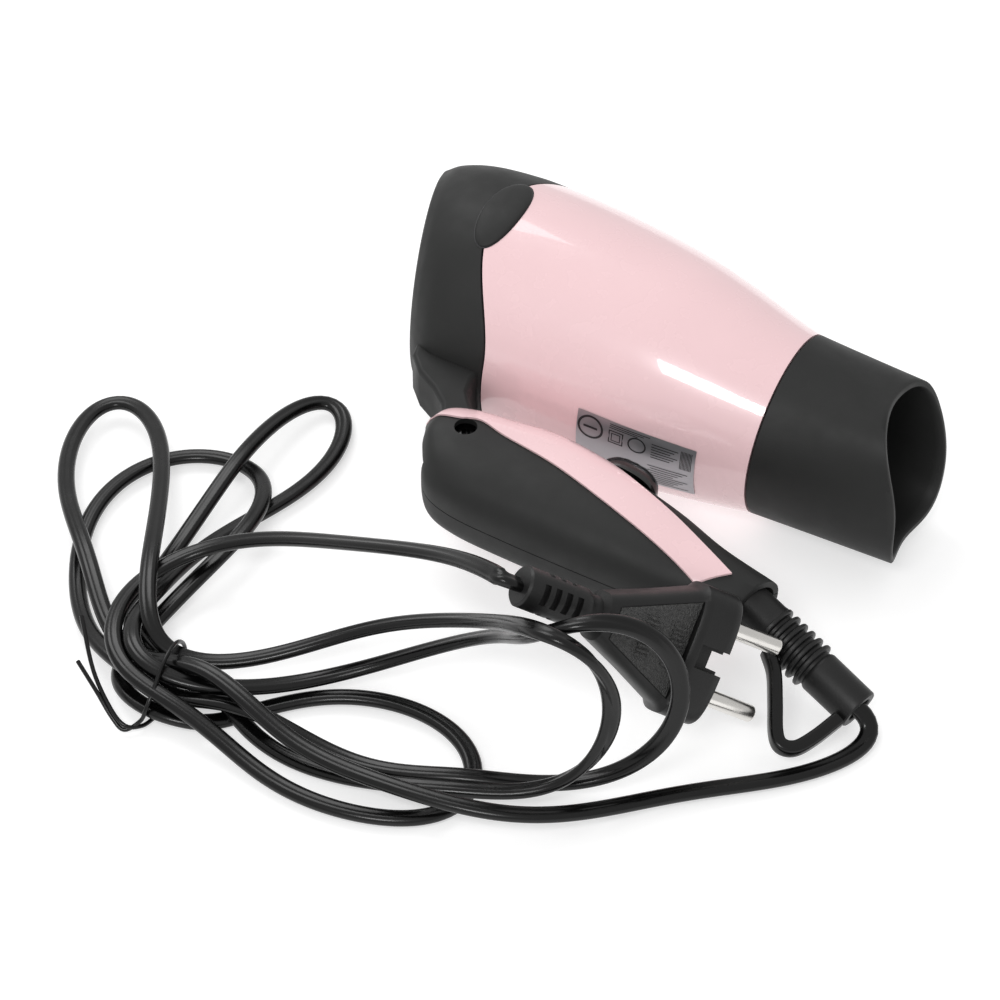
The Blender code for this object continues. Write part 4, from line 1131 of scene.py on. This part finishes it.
def cord(mat):
    rough = smooth_curve(cord_route())
    settled = settle(spread_evenly(rough, round(length_of(rough) / CORD_STEP) + 1))
    line = spread_evenly(smooth_curve(settled, 3), CORD_RINGS)
    ways = np.gradient(line, axis=0)
    ways /= np.linalg.norm(ways, axis=1)[:, None]
    sides = cord_sides(ways)
    ups = np.cross(sides, ways)
    section = twin_section()
    rings = []
    for spot, side, up in zip(line, sides, ups):
        rings.append([(spot + side * x + up * y) * MM for x, y in section])
    bm, nodes = skin(rings, capped=True), ("mains_cord",)
    obj = finish_mesh("mains_cord_sheath", bm, mat, "handle", nodes, 60)
    path = [tuple(p) for p in line[::3] * MM]
    return obj, path, float(length_of(line)) * MM


def tube(name, points, radius, mat, body, nodes, sides=12):
    line = np.array(smooth_rows(points, 6))
    ways = np.gradient(line, axis=0)
    rings = []
    up = np.array((0.3, 0.2, 1.0))
    for spot, way in zip(line, ways):
        way = way / np.linalg.norm(way)
        across = np.cross(way, up)
        across /= np.linalg.norm(across)
        up = np.cross(across, way)
        ring = [across * math.cos(a) + up * math.sin(a) for a in turns(sides)]
        rings.append([(spot + outward * radius) * MM for outward in ring])
    return finish_mesh(name, skin(rings, capped=True), mat, body, nodes, 60)


def cord_tie(mat):
    run = np.array((*TIE_ALONG, 0))
    side = np.array((-run[1], run[0], 0))
    place = np.array((*TIE_AT, 0))
    points = [place + side * a + np.array((0, 0, z)) + run * along for a, z, along in TIE_LOOP]
    return tube("wire_tie", points, TIE_RADIUS, mat, "handle", ("cord_tie",))


# ---------------------------------------------------------------- carried-over nodes, stage


def dress_nodes(names, mat):
    for name in names:
        obj = NODES[name]
        if not obj.material_slots:
            obj.data.materials.append(mat)
        for held in obj.material_slots:
            held.material = mat


def camera():
    data = bpy.data.cameras.new("camera")
    data.lens, data.sensor_width = 120, 36
    data.clip_start, data.clip_end = 0.02, 20
    obj = bpy.data.objects.new("camera", data)
    bpy.context.scene.collection.objects.link(obj)
    obj.location = LOOK_AT + TO_CAMERA * CAMERA_FAR
    obj.rotation_euler = (-TO_CAMERA).to_track_quat("-Z", "Y").to_euler()
    bpy.context.scene.camera = obj


def area_light(name, way, far, size, power, size_y=None, target=None):
    data = bpy.data.lights.new(name, "AREA")
    data.energy, data.size = power, size
    if size_y:
        data.shape, data.size_y = "RECTANGLE", size_y
    obj = bpy.data.objects.new(name, data)
    bpy.context.scene.collection.objects.link(obj)
    target = target or LOOK_AT
    obj.location = target + Vector(way).normalized() * far
    obj.rotation_euler = (target - obj.location).to_track_quat("-Z", "Y").to_euler()
    return obj


def stage():
    bm = bmesh.new()
    bmesh.ops.create_grid(bm, x_segments=1, y_segments=1, size=4)
    mesh = bpy.data.meshes.new("floor")
    bm.to_mesh(mesh)
    bm.free()
    floor = bpy.data.objects.new("floor", mesh)
    bpy.context.scene.collection.objects.link(floor)
    floor.location.z = -0.0002
    glow = {"Emission_Color": (1, 1, 1, 1), "Emission_Strength": 0.55}
    mat = principled("floor_white", (0.6, 0.6, 0.6), 0.8, **glow)
    floor.data.materials.append(mat)


def lights():
    world = bpy.data.worlds.new("studio")
    bpy.context.scene.world = world
    world.use_nodes = True
    sky = world.node_tree.nodes["Background"]
    sky.inputs["Color"].default_value = (1, 1, 1, 1)
    sky.inputs["Strength"].default_value = 0.66
    area_light("overhead", (-0.5, 0.3, 0.8), 1.5, 0.8, 7)
    # The softbox stands where the camera sees it mirrored in one place of the pink shell.
    streak = at(*barrel_at(-16, -40))
    lengthways = at(*barrel_at(-13, -40)) - at(*barrel_at(-19, -40))
    around = at(*barrel_at(-16, -37)) - at(*barrel_at(-16, -43))
    normal = around.cross(lengthways).normalized()
    if normal.dot(TO_CAMERA) < 0:
        normal = -normal
    view = (LOOK_AT + TO_CAMERA * CAMERA_FAR - streak).normalized()
    bounce = 2 * normal.dot(view) * normal - view
    area_light("softbox", bounce, 0.9, 0.26, 2.4, 0.17, streak)
    bpy.context.scene.view_settings.view_transform = "Standard"


def build():
    pink, grey, moulded = pink_gloss(), soft_touch(), moulded_grey()
    black, sheath, rubber = glossy_black(), cord_black(), plug_black()
    nickel, dark = bright_nickel(), label_ink()
    camera()
    cord_obj, path, length = cord(sheath)
    tie = cord_tie(sheath)
    with_pieces = plug(rubber, grained_black()) + plug_pins(nickel)
    barrel_shell(pink)
    hood(grey)
    lug(grey)
    for side in (1, -1):
        oval(side, grey)
        oval_groove(side, dark)
        handle_shell(side, grey)
        stripe(side, pink)
    rating_label(silver_foil(), dark)
    rear_rings, front_rings = (7.5, 11, 14.5, 18, 21.5), (7, 11, 15, 19)
    grille("rear_intake_grille", ("intake_grille",), at_rear, 27.0, rear_rings, 2.4, moulded, 8)
    grille("front_outlet_grille", (), at_outlet, 23.0, front_rings, 1.4, moulded, 6)
    nozzle(grey)
    hinge_screw(bright_nickel("screw_steel", (0.03, 0.03, 0.03)))
    switch(black)
    grip_screws(bright_nickel("grip_screw_steel", (0.4, 0.4, 0.4)))
    boot(rubber)
    hang_loop(sheath)
    dress_nodes(MOULDED_NODES, moulded)
    dress_nodes(LEAD_NODES, sheath)
    dress_nodes(MICA_NODES, mica())
    dress_nodes(STEEL_NODES, bright_nickel("plain_steel", (0.45, 0.45, 0.45)))
    dress_nodes(("intake_filter_screen",), screen_mesh())
    stage()
    lights()


build()
